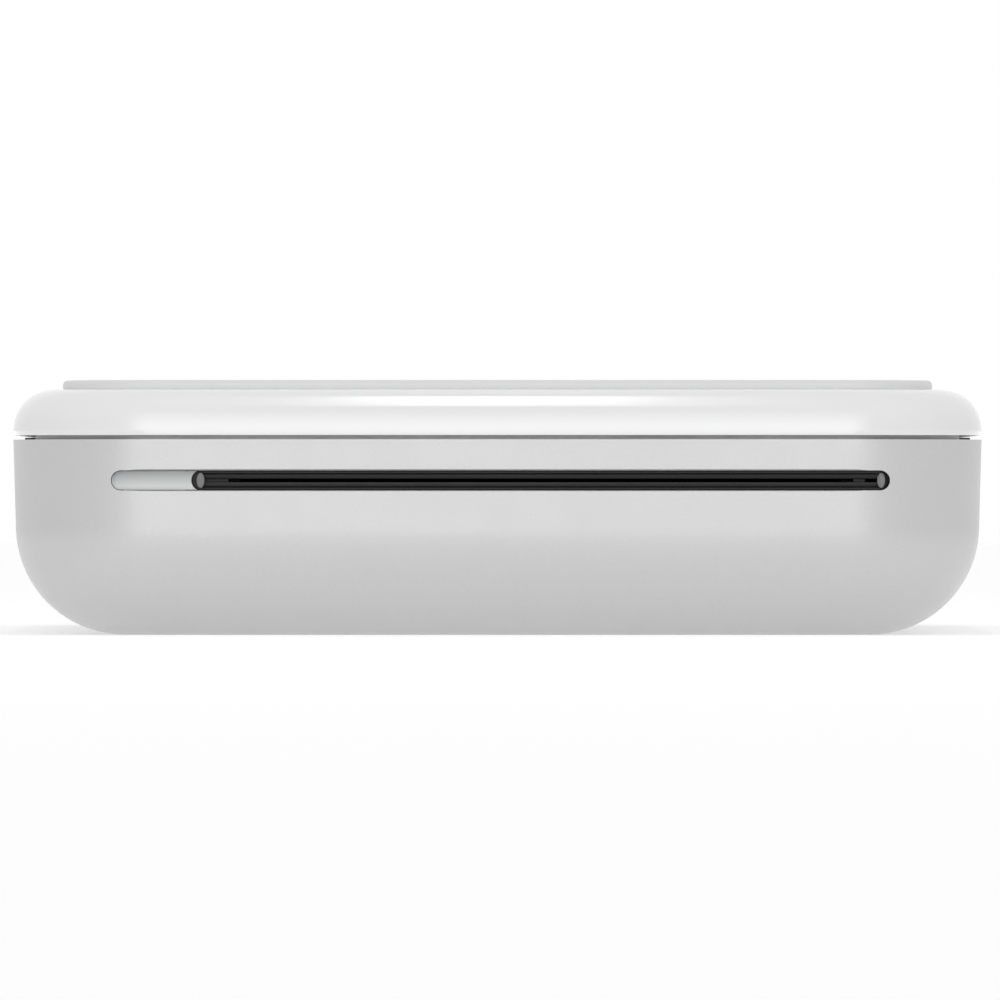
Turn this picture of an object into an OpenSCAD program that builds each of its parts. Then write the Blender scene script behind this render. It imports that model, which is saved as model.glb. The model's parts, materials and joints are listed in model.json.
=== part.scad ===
// Pocket photo printer: a shallow rounded case, a cover that slides off towards the exit slot,
// and the whole print path between them. +X is the photographed right, the exit slot faces -Y,
// +Z is up, and the origin is on the floor under the middle of the body. Millimetres.

/* [Body] */
// Room at each side of a sheet for the gears, the walls and the cover's hooks
side_room = 16.1; // [16:0.1:20]
// Room along the body, ahead of a sheet and behind it, for the rollers, the head and the rear board
end_room = 45.3; // [45:0.1:55]
// Height of the case's rim
rim_z = 16.9; // [16.8:0.1:19]
// Height of the shadow gap between case and cover
parting_gap = 0.35; // [0.25:0.05:0.5]
// Radius of the body's corners, seen from above
corner_r = 11.5; // [11:0.25:14]
// Radius of the case's lower edge
bottom_edge_r = 9; // [7:0.25:9.5]
// How far the case's sides lean in, from the rim down to the lower edge
side_draft = 0.45; // [0.2:0.05:0.6]
// Wall of the case
case_wall = 1.4; // [1.2:0.1:1.6]
// Thickness of the case's floor
case_floor = 1.6; // [1.2:0.1:1.6]

/* [Cover] */
// Height of the cover, from its lower edge to its shoulder
cover_h = 3.75; // [3.7:0.05:4.5]
// Radius of the cover's upper edge
cover_edge_r = 3.5; // [2.5:0.1:3.6]
// Side wall of the cover
cover_wall = 1.4; // [1.2:0.1:1.6]
// Top wall of the cover
cover_top_wall = 1.3; // [1.2:0.05:1.4]
// Height that the top panel stands above the cover's shoulder
panel_rise = 0.77; // [0.5:0.05:1.2]
// Margin from the body's side to the top panel
panel_margin = 4.25; // [4:0.25:8]
// Angle at which the hooks and their ramps lift the cover as it slides, degrees
hook_slope = 20; // [18:1:24]

/* [Sheet and tray] */
// Width of one sheet
sheet_w = 50.8; // [46:0.1:56]
// Length of one sheet
sheet_l = 76.2; // [69:0.1:84]
// Offset of the print path from the body's middle
path_x = 3.7; // [3.3:0.1:4]
// Play at each side of a sheet in the tray
sheet_play = 0.3; // [0.2:0.05:0.4]
// Thickness of the tray's floor
tray_floor = 1; // [0.8:0.1:1]
// Thickness of the tray's walls
tray_wall = 1.2; // [1:0.1:1.4]

/* [Exit slot] */
// Distance from the rim down to the middle of the slot
slot_drop = 3.7; // [3.6:0.05:3.9]
// Play at each side of a sheet in the black slot
slot_play = 3.4; // [3.1:0.05:3.6]
// Height of the slot
slot_h = 1.7; // [1.5:0.05:1.9]
// Bevel round the slot's opening in the case
slot_bevel = 0.3; // [0.2:0.05:0.4]
// Width of each end cheek of the slot
cheek_w = 0.9; // [0.9:0.05:1.1]
// Width of the light window beside the slot
light_w = 6.9; // [6:0.1:7.5]

/* [Rollers] */
// Radius of the platen roller
platen_r = 3.3; // [3.1:0.05:3.4]
// Radius of the platen roller's shaft
platen_shaft_r = 1.5; // [1.2:0.1:1.7]
// Distance from the slot face back to the platen roller's axis
platen_setback = 13.75; // [13.6:0.05:14.2]
// Radius of the pickup tyres
pickup_r = 3.3; // [3.2:0.05:3.4]
// Radius of the pickup roller's shaft
pickup_shaft_r = 1.25; // [1:0.05:1.4]
// Distance between the platen and pickup axes
feed_span = 31; // [30.6:0.1:31.4]
// Radial clearance of the shafts in their bushes
bush_fit = 0.05; // [0.03:0.01:0.08]

/* [Gears] */
// Teeth of the platen and pickup gears
roller_teeth = 24; // [24:1:25]
// Teeth of the idlers, and of the reduction gear's small wheel
idler_teeth = 20; // [20:1:21]
// Teeth of the reduction gear's large wheel
wheel_teeth = 28; // [26:1:28]
// Teeth of the motor's pinion
pinion_teeth = 12; // [12:1:13]
// Face width of the gears
gear_w = 2.4; // [2:0.1:2.6]

/* [Rear end] */
// Distance from the body's middle to the power button
button_x = 17; // [14:0.5:20]
// Width of the power button
button_w = 9; // [8:0.25:11]
// Height of the power button
button_h = 3.4; // [3:0.1:3.8]
// Stroke of the power button
button_travel = 0.5; // [0.4:0.05:0.6]
// Height of the rear openings above the floor
rear_z = 9.6; // [9.4:0.1:10]

/* [Print head and power] */
// Thickness of the head's heat sink
heatsink_t = 2.05; // [1.8:0.05:2.2]
// Diameter of the feed motor's can
motor_d = 12; // [11.5:0.1:12.2]
// Height of the feed motor across its flats
motor_flat = 10; // [9:0.1:10]
// Length of the feed motor's can
motor_l = 15; // [13:0.5:18]
// Width of the battery
battery_w = 34; // [30:0.5:34]
// Distance from the pickup axis back to the battery
battery_setback = 13.3; // [13:0.1:20]
// Thickness of the battery
battery_t = 6; // [4:0.1:7]

/* [Hidden] */
$fn = 48;
eps = 0.01;

// The body is built round the sheet
body_w = sheet_w + 2 * side_room;
body_l = sheet_l + end_room;
slot_w = sheet_w + 2 * slot_play;

// Heights
cover_z = rim_z + parting_gap;
shoulder_z = cover_z + cover_h;
ceiling_z = shoulder_z - cover_top_wall;
nip_z = rim_z - slot_drop;
roller_rise = 0.3;
path_z = nip_z - roller_rise;
tray_under_z = path_z - tray_floor;
deck_top_z = rim_z - 0.3;
deck_t = 1.2;
deck_z = deck_top_z - deck_t;
axle_z = nip_z - platen_r;
pickup_z = path_z + roller_rise - pickup_r;

// Places along the body
front_y = -body_l / 2;
rear_y = body_l / 2;
platen_y = front_y + platen_setback;
pickup_y = platen_y + feed_span;
tray_front_y = platen_y + 10;
tray_back_y = tray_front_y + sheet_l + 1.1;
sensor_y = tray_front_y + 2.2;

// Places across the body
tray_left_x = path_x - sheet_w / 2 - sheet_play;
tray_right_x = path_x + sheet_w / 2 + sheet_play;
cheek_t = 1.8;
left_cheek_x = tray_left_x - 4.6 - cheek_t;
right_cheek_x = tray_right_x + 3.8;
clip_x = right_cheek_x + cheek_t + 0.45;
shaft_end_x = clip_x + 0.8;
slot_left_x = path_x - slot_w / 2;
slot_right_x = path_x + slot_w / 2;
guide_left_x = slot_left_x - cheek_w;
guide_right_x = slot_right_x + cheek_w;
window_left_x = guide_left_x - light_w;

// The lips, keepers and hooks that hold the cover
lip_out_x = body_w / 2 - cover_wall - 0.4;
lip_in_x = lip_out_x - 1;
lip_top_z = rim_z + 1.1;
lip_front_y = front_y + cover_wall + 0.4;
lip_t = 0.9;
front_lip_x = body_w / 2 - 14.5;
keeper_l = 6;
keeper_ys = [-body_l / 2 + 22, 0, body_l / 2 - 22];
hook_reach = 3;
hook_gap = 0.15;
hook_t = 0.9;
hook_x = lip_in_x - 1.1;
chassis_w = 2 * (hook_x - 0.3);
chassis_front_y = lip_front_y + lip_t + 0.25;
chassis_back_y = rear_y - case_wall - 1.5;
chassis_l = chassis_back_y - chassis_front_y;

// Reflective sensors under the sheets
sensor_w = 3.8;
sensor_l = 2.8;
sensor_xs = [path_x - 8, path_x + 8];

// Pickup tyres on their hubs
tyre_off = 11;
tyre_xs = [path_x - tyre_off, path_x + tyre_off];
tyre_half_w = 3.6;

// Screws that hold the chassis down: shank, head and the posts that they join
screw_r = 1;
screw_head_r = 1.9;
screw_head_h = 1;
post_r = 2.3;
post_z = 9;
screw_tip_z = 5.5;
screw_x = chassis_w / 2 - 3.3;
screw_spots = [for (side = [-1, 1])
    each [[side * screw_x, chassis_front_y + 2.9], [side * (screw_x + 0.4), pickup_y + 8],
        [side * (screw_x - 1), chassis_back_y - 4.5]]];
tiny_r = 0.7;
tiny_head_r = 1.3;
tiny_head_h = 0.6;

// Gear train: each axle is a [y, z] point, and both planes of gears lie outside the left cheek
plane_inner_x = left_cheek_x - 0.5 - gear_w;
plane_outer_x = plane_inner_x - 0.3 - gear_w;
gear_plate_t = 0.7;
gear_plate_x = plane_outer_x - 0.6 - gear_plate_t;
axle_r = 1;
// Module of every gear: the train is 77.5 modules long from one roller's axis to the other's
gear_m = feed_span / 77.5;
tooth_head = 0.9 * gear_m;
function pitch_r(teeth) = gear_m * teeth / 2;
function tip_r(teeth) = pitch_r(teeth) + tooth_head;
function centre_gap(teeth_a, teeth_b) = pitch_r(teeth_a) + pitch_r(teeth_b);
function bearing_of(a, b) = atan2(b[1] - a[1], b[0] - a[0]);
// Upper crossing of a circle of radius ra round a with one of radius rb round b
function upper_meet(a, ra, b, rb) =
    let (d = norm(b - a), along = (d * d + ra * ra - rb * rb) / (2 * d))
    let (up = sqrt(ra * ra - along * along), dir = (b - a) / d)
    a + along * dir + up * [-dir[1], dir[0]];
platen_at = [platen_y, axle_z];
pickup_at = [pickup_y, pickup_z];
reduction_at = [platen_y + feed_span / 2, axle_z - 1.25];
idler_front_at = upper_meet(platen_at, centre_gap(roller_teeth, idler_teeth),
    reduction_at, centre_gap(idler_teeth, idler_teeth));
idler_rear_at = upper_meet(reduction_at, centre_gap(idler_teeth, idler_teeth),
    pickup_at, centre_gap(roller_teeth, idler_teeth));
motor_z = tray_under_z - 0.1 - motor_flat / 2;
motor_drop = reduction_at[1] - motor_z;
motor_at = [reduction_at[0] + sqrt(pow(centre_gap(wheel_teeth, pinion_teeth), 2) - motor_drop * motor_drop),
    motor_z];
// Turn of a gear that meshes with one whose turn is known: a tooth of one meets a gap of the other
function mesh_turn(turn_a, teeth_a, a, teeth_b, b) =
    bearing_of(a, b) + 180 + 180 / teeth_b + (bearing_of(a, b) - turn_a) * teeth_a / teeth_b;
idler_front_turn = mesh_turn(0, roller_teeth, platen_at, idler_teeth, idler_front_at);
reduction_turn = mesh_turn(idler_front_turn, idler_teeth, idler_front_at, idler_teeth, reduction_at);
idler_rear_turn = mesh_turn(reduction_turn, idler_teeth, reduction_at, idler_teeth, idler_rear_at);
pickup_turn = mesh_turn(idler_rear_turn, idler_teeth, idler_rear_at, roller_teeth, pickup_at);
pinion_turn = mesh_turn(0, wheel_teeth, reduction_at, pinion_teeth, motor_at);

motor_tag_l = 1.8;
motor_end_x = left_cheek_x + cheek_t + motor_l + motor_tag_l;

// Print head: ceramic strip under a heat sink that pivots behind it
head_gap = 0.25;
gear_bay_front_y = platen_y - tip_r(roller_teeth) - 1.04;
gear_bay_back_y = pickup_y + tip_r(roller_teeth) + 1.04;
gear_cover_in_z = max(idler_front_at[1], idler_rear_at[1]) + tip_r(idler_teeth) + 0.4;
gear_cover_t = 0.7;
gear_bay_x = gear_plate_x - 1.2;
ceramic_t = 0.7;
ceramic_z = nip_z + head_gap;
heatsink_z = ceramic_z + ceramic_t;
heatsink_top_z = heatsink_z + heatsink_t;
head_half_w = slot_w / 2 + 0.2;
heatsink_front_y = platen_y - 4.5;
heatsink_back_y = platen_y + 6;
head_pivot_at = [platen_y + 5, heatsink_z + 1.05];
head_pin_r = 0.8;
bracket_t = 0.5;
bracket_z = heatsink_top_z + 1.7;
bracket_front_y = heatsink_front_y - 0.9;
bracket_back_y = heatsink_back_y + 0.6;
bay_front_y = bracket_front_y;
bay_back_y = bracket_back_y;
head_spring_r = 1.6;
head_spring_turns = 1.5;
head_wire_r = 0.15;
head_spring_xs = [path_x - 17, path_x + 17];

// Circuit boards
board_t = 1;
main_board_z = 4.2;
main_board_top = main_board_z + board_t;
rear_board_z = rear_z - 1.4 - board_t;
rear_board_top = rear_board_z + board_t;
rear_board_front_y = tray_back_y + tray_wall + 0.8;
button_back_y = rear_y - case_wall - 1.6;
rear_board_back_y = button_back_y - 0.65;
rear_board_margin = 11.5;
rear_board_w = body_w - 2 * rear_board_margin;
battery_x = body_w / 2 - side_draft - bottom_edge_r + 1 - battery_w;
battery_y = pickup_y + battery_setback;
battery_l = tray_back_y + 1 - battery_y;
board_left_x = -(body_w / 2 - 5);
board_right_x = body_w / 2 - 5.5;
board_back_y = tray_back_y - 4.3;
battery_z = case_floor + 0.2;
module_w = 13;
module_l = 14;
module_x = board_left_x + 4 + module_w / 2;
module_y = board_back_y - 8.5 - module_l / 2;
chip_x = (module_x + module_w / 2 + battery_x - 2) / 2;
usb_x = -8;
led_x = -17;
reset_x = -23;
usb_w = 7.6;
usb_h = 2.8;
hole_r = 0.7;
main_board_spots = [[board_left_x + 2.5, pickup_y + 14.5], [board_left_x + 2.5, board_back_y - 3],
    [battery_x - 5, board_back_y - 3], [board_right_x - 2.5, platen_y + 11], [battery_x + 13, pickup_y + 2]];
rear_board_spots = [for (side = [-1, 1]) [side * (rear_board_w / 2 - 3), rear_board_front_y + 3]];

// Press plate, hinged inside the cover over the pickup roller
plate_w = 2 * (tyre_off + tyre_half_w + 0.4);
plate_t = 0.8;
plate_pivot_at = [pickup_y + 14, ceiling_z - 1.3];
plate_pin_r = 0.8;
plate_tip_y = pickup_y - 6;
plate_rest_z = path_z + 0.9;
plate_seat_y = pickup_y + 2.5;
plate_spring_r = 1.8;
plate_spring_turns = 4;
plate_wire_r = 0.175;
plate_spring_z = plate_rest_z + plate_t + 0.49;
plate_spring_xs = [path_x - tyre_off + 2, path_x + tyre_off - 2];

// ---------------------------------------------------------------- shared shapes

// Extrudes a profile drawn as (y, z) along +X from x0
module along_x(x0, length) {
    translate([x0, 0, 0])
        rotate([90, 0, 90])
            linear_extrude(length) children();
}

// Extrudes a profile drawn as (x, z) along +Y from y0
module along_y(y0, length) {
    translate([0, y0 + length, 0])
        rotate([90, 0, 0])
            linear_extrude(length) children();
}

// A box given by its lowest corner and its highest corner
module block(low, high) {
    translate(low) cube(high - low);
}

// A rod along X between two x values, centred on a [y, z] point
module rod_x(x0, x1, at, r) {
    translate([x0, at[0], at[1]]) rotate([0, 90, 0]) cylinder(r = r, h = x1 - x0);
}

// A rod along Y between two y values, centred on an [x, z] point
module rod_y(y0, y1, at, r) {
    translate([at[0], y0, at[1]]) rotate([-90, 0, 0]) cylinder(r = r, h = y1 - y0);
}

// A flat rectangle with round corners, centred on the origin
module rounded_rect(w, l, r) {
    square([w - 2 * r, l], center = true);
    square([w, l - 2 * r], center = true);
    for (x = [-1, 1], y = [-1, 1])
        translate([x * (w / 2 - r), y * (l / 2 - r)]) circle(r);
}

// A flat bar with two round ends, centred on the origin
module pill(w, h) {
    square([w - h, h], center = true);
    for (x = [-1, 1])
        translate([x * (w - h) / 2, 0]) circle(h / 2);
}

// Half section of the case: a round lower edge that runs into a straight, leaning side
module tub_edge(reach, h, edge_r, lean) {
    cx = reach - lean - edge_r;
    away = norm([reach - cx, h - edge_r]);
    touch = atan2(h - edge_r, reach - cx) - acos(edge_r / away);
    intersection() {
        square([reach, h]);
        union() {
            translate([cx, edge_r]) circle(edge_r);
            polygon([[0, 0], [cx, 0], [cx + edge_r * cos(touch), edge_r + edge_r * sin(touch)],
                [reach, h], [0, h]]);
        }
    }
}

// Half section of the cover: straight side, round upper edge
module lid_edge(reach, h, edge_r) {
    square([reach - edge_r, h]);
    square([reach, h - edge_r]);
    intersection() {
        square([reach, h]);
        translate([reach - edge_r, h - edge_r]) circle(edge_r);
    }
}

// Carries a half section of the given reach round a rectangle w by l whose corners have that reach
module swept_body(w, l, reach) {
    for (side = [0, 180])
        rotate([0, 0, side]) {
            translate([w / 2 - reach, l / 2 - reach, 0])
                rotate([90, 0, 0]) linear_extrude(l - 2 * reach) children();
            translate([-w / 2 + reach, l / 2 - reach, 0])
                rotate([90, 0, 90]) linear_extrude(w - 2 * reach) children();
            translate([w / 2 - reach, l / 2 - reach, 0])
                rotate_extrude(angle = 90) children();
            translate([-w / 2 + reach, l / 2 - reach, 0])
                rotate([0, 0, 90]) rotate_extrude(angle = 90) children();
        }
}

// The case's outer form, drawn in from its faces by inset
module tub(inset, base, h) {
    reach = corner_r - inset;
    translate([0, 0, base])
        union() {
            swept_body(body_w - 2 * inset, body_l - 2 * inset, reach)
                tub_edge(reach, h, bottom_edge_r - inset, side_draft);
            translate([0, 0, h / 2])
                cube([body_w - 2 * corner_r, body_l - 2 * corner_r, h], center = true);
        }
}

// The cover's form, drawn in by inset and with its top at the given height above its lower edge
module lid(inset, h, edge_r) {
    reach = corner_r - inset;
    swept_body(body_w - 2 * inset, body_l - 2 * inset, reach) lid_edge(reach, h, edge_r);
    translate([0, 0, h / 2])
        cube([body_w - 2 * corner_r, body_l - 2 * corner_r, h], center = true);
}

// Both left and right: a child drawn at +X is repeated at -X
module both_sides() {
    children();
    mirror([1, 0, 0]) children();
}

// Screw with a domed head: head under z, shank down to tip
module screw(at, z, tip, shank_r, head_r, head_h) {
    translate([at[0], at[1], z - head_h])
        difference() {
            cylinder(r = head_r, h = head_h);
            translate([0, 0, head_h * 0.5]) {
                cube([head_r * 1.2, head_r * 0.3, head_h * 2], center = true);
                cube([head_r * 0.3, head_r * 1.2, head_h * 2], center = true);
            }
        }
    translate([at[0], at[1], tip]) cylinder(r = shank_r, h = z - head_h - tip);
}

// A round wire or lead swept along points, as one closed skin with n sides
function unit(v) = v / norm(v);
function tangent(p, i) = unit(p[min(i + 1, len(p) - 1)] - p[max(i - 1, 0)]);
function side_of(t) = unit(cross(t, abs(t[2]) < 0.9 ? [0, 0, 1] : [1, 0, 0]));
module tube(points, r, n) {
    count = len(points);
    skin = [for (i = [0:count - 1], k = [0:n - 1])
        let (t = tangent(points, i), s = side_of(t), u = cross(s, t), a = 360 * k / n)
        points[i] + r * (cos(a) * s + sin(a) * u)];
    sides = [for (i = [0:count - 2], k = [0:n - 1])
        let (a = i * n + k, b = i * n + (k + 1) % n)
        each [[a, b, b + n], [a, b + n, a + n]]];
    near_cap = [for (k = [1:n - 2]) [0, k + 1, k]];
    far_cap = [for (k = [1:n - 2]) let (f = (count - 1) * n) [f, f + k, f + k + 1]];
    polyhedron(skin, concat(sides, near_cap, far_cap));
}

// Compression spring between two heights, standing on Z at [x, y]
coil_rings = 8;
function coil_points(at, z0, z1, r, turns) =
    [for (i = [0:turns * coil_rings])
        let (a = 360 * i / coil_rings)
        [at[0] + r * cos(a), at[1] + r * sin(a), z0 + (z1 - z0) * i / (turns * coil_rings)]];
module coil_spring(at, z0, z1, r, turns, wire_r) {
    tube(coil_points(at, z0 + wire_r, z1 - wire_r, r - wire_r, turns), wire_r, 6);
}
// Least gap between one curl of a spring and the next, measured on the points of its wire
function coil_gap(height, r, turns, wire_r) =
    let (p = coil_points([0, 0], wire_r, height - wire_r, r - wire_r, turns), last = len(p) - 1)
    min([for (i = [0:last - coil_rings / 2], j = [i + coil_rings / 2:last]) norm(p[i] - p[j])]) - 2 * wire_r;

// Involute tooth: half its angle at radius r, for a 20 degree pressure angle and a little backlash
pressure = 20;
tooth_play = 0.03;
function involute(a) = tan(a) * 180 / PI - a;
function tooth_half(r, teeth) =
    let (base = pitch_r(teeth) * cos(pressure), a = r > base ? acos(base / r) : 0)
    90 / teeth - tooth_play / pitch_r(teeth) * 180 / PI + involute(pressure) - involute(a);
function tooth_radii(teeth) =
    let (root = pitch_r(teeth) - 1.2 * gear_m, base = max(root, pitch_r(teeth) * cos(pressure)))
    let (tip = tip_r(teeth))
    [root, for (i = [0:3]) base + 0.001 + (tip - base) * i / 3];
module gear_outline(teeth, turn) {
    radii = tooth_radii(teeth);
    flank = len(radii);
    polygon([for (k = [0:teeth - 1], i = [0:2 * flank - 1])
        let (r = i < flank ? radii[i] : radii[2 * flank - 1 - i], side = i < flank ? -1 : 1)
        let (a = turn + 360 * k / teeth + side * tooth_half(r, teeth))
        r * [cos(a), sin(a)]]);
}
module gear(x0, width, at, teeth, turn, bore_r) {
    translate([x0, at[0], at[1]])
        rotate([90, 0, 90])
            difference() {
                linear_extrude(width) gear_outline(teeth, turn);
                translate([0, 0, -eps]) cylinder(r = bore_r, h = width + 2 * eps);
            }
}

// ---------------------------------------------------------------- case

// Keeper on the case's right wall: its underside is a ramp, its top is the light lip
module keeper(y) {
    ramp = tan(hook_slope);
    low_z = rim_z - 1;
    along_x(lip_in_x, lip_out_x - lip_in_x)
        polygon([[y, low_z], [y + keeper_l, low_z - keeper_l * ramp],
            [y + keeper_l, lip_top_z], [y, lip_top_z]]);
    along_x(lip_in_x, body_w / 2 - case_wall / 2 - lip_in_x)
        polygon([[y, low_z], [y + keeper_l, low_z - keeper_l * ramp], [y + keeper_l, rim_z], [y, rim_z]]);
}

// Everything that stands inside the case, before it is trimmed to the wall
module case_insides() {
    for (p = screw_spots)
        translate([p[0], p[1], 0]) cylinder(r = post_r, h = post_z);
    for (p = main_board_spots)
        translate([p[0], p[1], 0]) cylinder(r = 1.6, h = main_board_z);
    for (p = rear_board_spots)
        translate([p[0], p[1], 0]) cylinder(r = 1.8, h = rear_board_z);
    for (x = [battery_x - 1, battery_x + battery_w + 0.2])
        block([x, battery_y + 4, 0], [x + 0.8, battery_y + battery_l - 4, case_floor + 1.6]);
    for (y = [battery_y - 1, battery_y + battery_l + 0.2])
        block([battery_x + 5, y, 0], [battery_x + battery_w - 5, y + 0.8, case_floor + 1.6]);
    for (k = [-1, -0.5, 0.4, 0.9]) let (x = k * (body_w / 2 - 11.5))
        block([x - 0.5, -body_l / 2, 0], [x + 0.5, platen_y - 8, case_floor + 1.5]);
}

// Bevelled mouth of a pill-shaped opening in the front, between the middles of its two round ends
module front_bevel(x0, x1, r) {
    along_x(x0, x1 - x0)
        polygon([[front_y - eps, nip_z - r - slot_bevel], [front_y, nip_z - r - slot_bevel],
            [front_y + slot_bevel, nip_z - r], [front_y + slot_bevel, nip_z + r],
            [front_y, nip_z + r + slot_bevel], [front_y - eps, nip_z + r + slot_bevel]]);
    for (x = [x0, x1])
        translate([x, front_y, nip_z])
            rotate([-90, 0, 0]) cylinder(r1 = r + slot_bevel, r2 = r, h = slot_bevel);
}

module bottom_case() {
    color("#d6d6d6")
        difference() {
            union() {
                difference() {
                    tub(0, 0, rim_z);
                    tub(case_wall, case_floor, rim_z);
                }
                intersection() {
                    tub(case_wall / 2, case_floor / 2, rim_z);
                    case_insides();
                }
                both_sides()
                    for (y = keeper_ys) keeper(y);
                block([-front_lip_x, lip_front_y, rim_z - 1.5], [front_lip_x, lip_front_y + lip_t, lip_top_z]);
                block([-front_lip_x, front_y + case_wall / 2, rim_z - 1.5],
                    [front_lip_x, lip_front_y + lip_t, rim_z]);
            }
            along_y(front_y - 1, 4)
                translate([(window_left_x + guide_right_x) / 2, nip_z])
                    pill(guide_right_x - window_left_x, slot_h);
            front_bevel(window_left_x + slot_h / 2, guide_right_x - slot_h / 2, slot_h / 2);
            along_y(rear_y - 3, 4) {
                translate([button_x, rear_z]) pill(button_w + 0.3, button_h + 0.3);
                translate([usb_x, rear_z]) rounded_rect(usb_w + 0.8, usb_h + 0.8, 1);
            }
            for (x = [led_x, reset_x])
                rod_y(rear_y - 3, rear_y + 1, [x, rear_z], hole_r);
            for (p = screw_spots)
                translate([p[0], p[1], screw_tip_z]) cylinder(r = screw_r, h = post_z);
            for (p = main_board_spots)
                translate([p[0], p[1], case_floor]) cylinder(r = tiny_r, h = main_board_z);
            for (p = rear_board_spots)
                translate([p[0], p[1], case_floor]) cylinder(r = tiny_r, h = rear_board_z);
        }
}

// ---------------------------------------------------------------- chassis and tray

// One cheek that carries the roller bushes, from the deck down
module bearing_cheek(x0, low_z) {
    along_x(x0, cheek_t)
        polygon([[bay_front_y, low_z], [pickup_y + 5, low_z], [pickup_y + 5, deck_top_z],
            [bay_front_y, deck_top_z]]);
}

module chassis_solid() {
    translate([0, (chassis_front_y + chassis_back_y) / 2, deck_z])
        linear_extrude(deck_t) rounded_rect(chassis_w, chassis_l, corner_r - 4);
    block([tray_left_x - tray_wall, tray_front_y - tray_wall, tray_under_z],
        [tray_right_x + tray_wall, tray_back_y + tray_wall, deck_top_z]);
    block([left_cheek_x + eps, bay_front_y - 1.2, tray_under_z],
        [right_cheek_x + cheek_t - eps, tray_front_y, path_z]);
    block([left_cheek_x + eps, bay_front_y - 1.2, tray_under_z],
        [right_cheek_x + cheek_t - eps, bay_front_y, deck_top_z]);
    bearing_cheek(left_cheek_x, axle_z - 4);
    bearing_cheek(right_cheek_x, axle_z - 3);
    along_x(left_cheek_x, cheek_t)
        translate([motor_at[0] - motor_d / 2 - 0.4, 2.2])
            square([motor_d + 0.8, axle_z - 2.2]);
    for (p = screw_spots)
        translate([p[0], p[1], post_z]) cylinder(r = post_r, h = deck_top_z - post_z);
}

module chassis() {
    rib_w = 0.8;
    color("#26272a")
        difference() {
            union() {
                difference() {
                    chassis_solid();
                    block([tray_left_x, tray_front_y, path_z - 0.25],
                        [tray_right_x, tray_back_y, deck_top_z + 1]);
                    block([left_cheek_x + cheek_t, bay_front_y, path_z],
                        [right_cheek_x, bay_back_y, deck_top_z + 1]);
                    block([gear_bay_x, gear_bay_front_y, deck_z - 1],
                        [left_cheek_x, gear_bay_back_y, deck_top_z + 1]);
                }
                for (k = [-2:2])
                    translate([path_x + k * 11 - rib_w / 2, tray_front_y, path_z - 0.3])
                        cube([rib_w, tray_back_y - tray_front_y, 0.3]);
            }
            // windows for the platen and the pickup tyres, and the sheet's way under the gate
            block([path_x - sheet_w / 2 - 1.6, platen_y - platen_r - 0.5, tray_under_z - 1],
                [path_x + sheet_w / 2 + 1.6, platen_y + platen_r + 0.5, path_z + 1]);
            for (x = tyre_xs)
                block([x - tyre_half_w - 0.8, pickup_y - pickup_r - 0.5, tray_under_z - 1],
                    [x + tyre_half_w + 0.8, pickup_y + pickup_r + 0.5, path_z + 1]);
            block([tray_left_x, bay_back_y - 1, path_z], [tray_right_x, tray_front_y + 1, nip_z + 0.2]);
            // way out to the slot
            block([tray_left_x, bay_front_y - 2, path_z - 0.2], [tray_right_x, bay_front_y + 1, nip_z + 1.4]);
            // bores for bushes, axles, pivot pins, the motor and the chassis screws
            for (x = [left_cheek_x, right_cheek_x]) {
                rod_x(x - 1, x + cheek_t + 1, platen_at, platen_shaft_r + 1);
                rod_x(x - 1, x + cheek_t + 1, pickup_at, pickup_shaft_r + 1);
            }
            rod_x(left_cheek_x - 1, left_cheek_x + 1, idler_front_at, axle_r);
            rod_x(left_cheek_x - 1, left_cheek_x + 1, idler_rear_at, axle_r);
            rod_x(left_cheek_x - 1, left_cheek_x + 1, reduction_at, axle_r);
            rod_x(left_cheek_x + cheek_t - 1, left_cheek_x + cheek_t + 1, head_pivot_at, head_pin_r + bush_fit);
            rod_x(right_cheek_x - 1, right_cheek_x + 1, head_pivot_at, head_pin_r + bush_fit);
            rod_x(left_cheek_x - 1, left_cheek_x + cheek_t + 1, motor_at, 2.05);
            for (p = screw_spots)
                translate([p[0], p[1], post_z - 1]) {
                    cylinder(r = screw_r + 0.1, h = deck_top_z);
                    translate([0, 0, deck_top_z - screw_head_h - post_z + 1])
                        cylinder(r = screw_head_r + 0.1, h = 5);
                }
            // way for the head's ribbon, over the cheek and down past the deck's edge
            block([right_cheek_x - 1, cable_y - 0.3, heatsink_top_z - 0.4],
                [cable_x + 0.3, cable_y + cable_w + 0.3, deck_top_z + 1]);
            block([right_cheek_x + cheek_t, cable_y - 0.3, tray_under_z],
                [cable_x + 0.3, cable_y + cable_w + 0.3, deck_top_z + 1]);
            // seats for the two sheet sensors
            for (x = sensor_xs)
                block([x - sensor_w / 2, sensor_y, tray_under_z - 1],
                    [x + sensor_w / 2, sensor_y + sensor_l, path_z + 1]);
            // finger notches in the tray's sides and back
            for (x = [tray_left_x, tray_right_x])
                translate([x, (tray_front_y + tray_back_y) / 2 + 12, deck_top_z - 2.2])
                    cylinder(r = 7, h = 5);
            translate([path_x, tray_back_y + 2, deck_top_z - 2.2]) cylinder(r = 8, h = 5);
            // pilot holes of the small screws
            for (p = bracket_spots())
                translate([p[0], p[1], deck_top_z - 1]) cylinder(r = tiny_r, h = 3);
            for (p = gear_cover_spots())
                translate([p[0], p[1], deck_top_z - 1]) cylinder(r = tiny_r, h = 3);
        }
}

// Where the head bracket and the gear cover are screwed to the deck
function bracket_spots() = [for (x = [3.3 - head_half_w, -0.7, head_half_w - 3.7])
    each [[path_x + x, bracket_front_y - 1.9], [path_x + x, bracket_back_y + 1.7]]];
function gear_cover_spots() = [for (y = [gear_bay_front_y - 2, gear_bay_back_y + 2]) [left_cheek_x - 0.4, y]];

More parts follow.
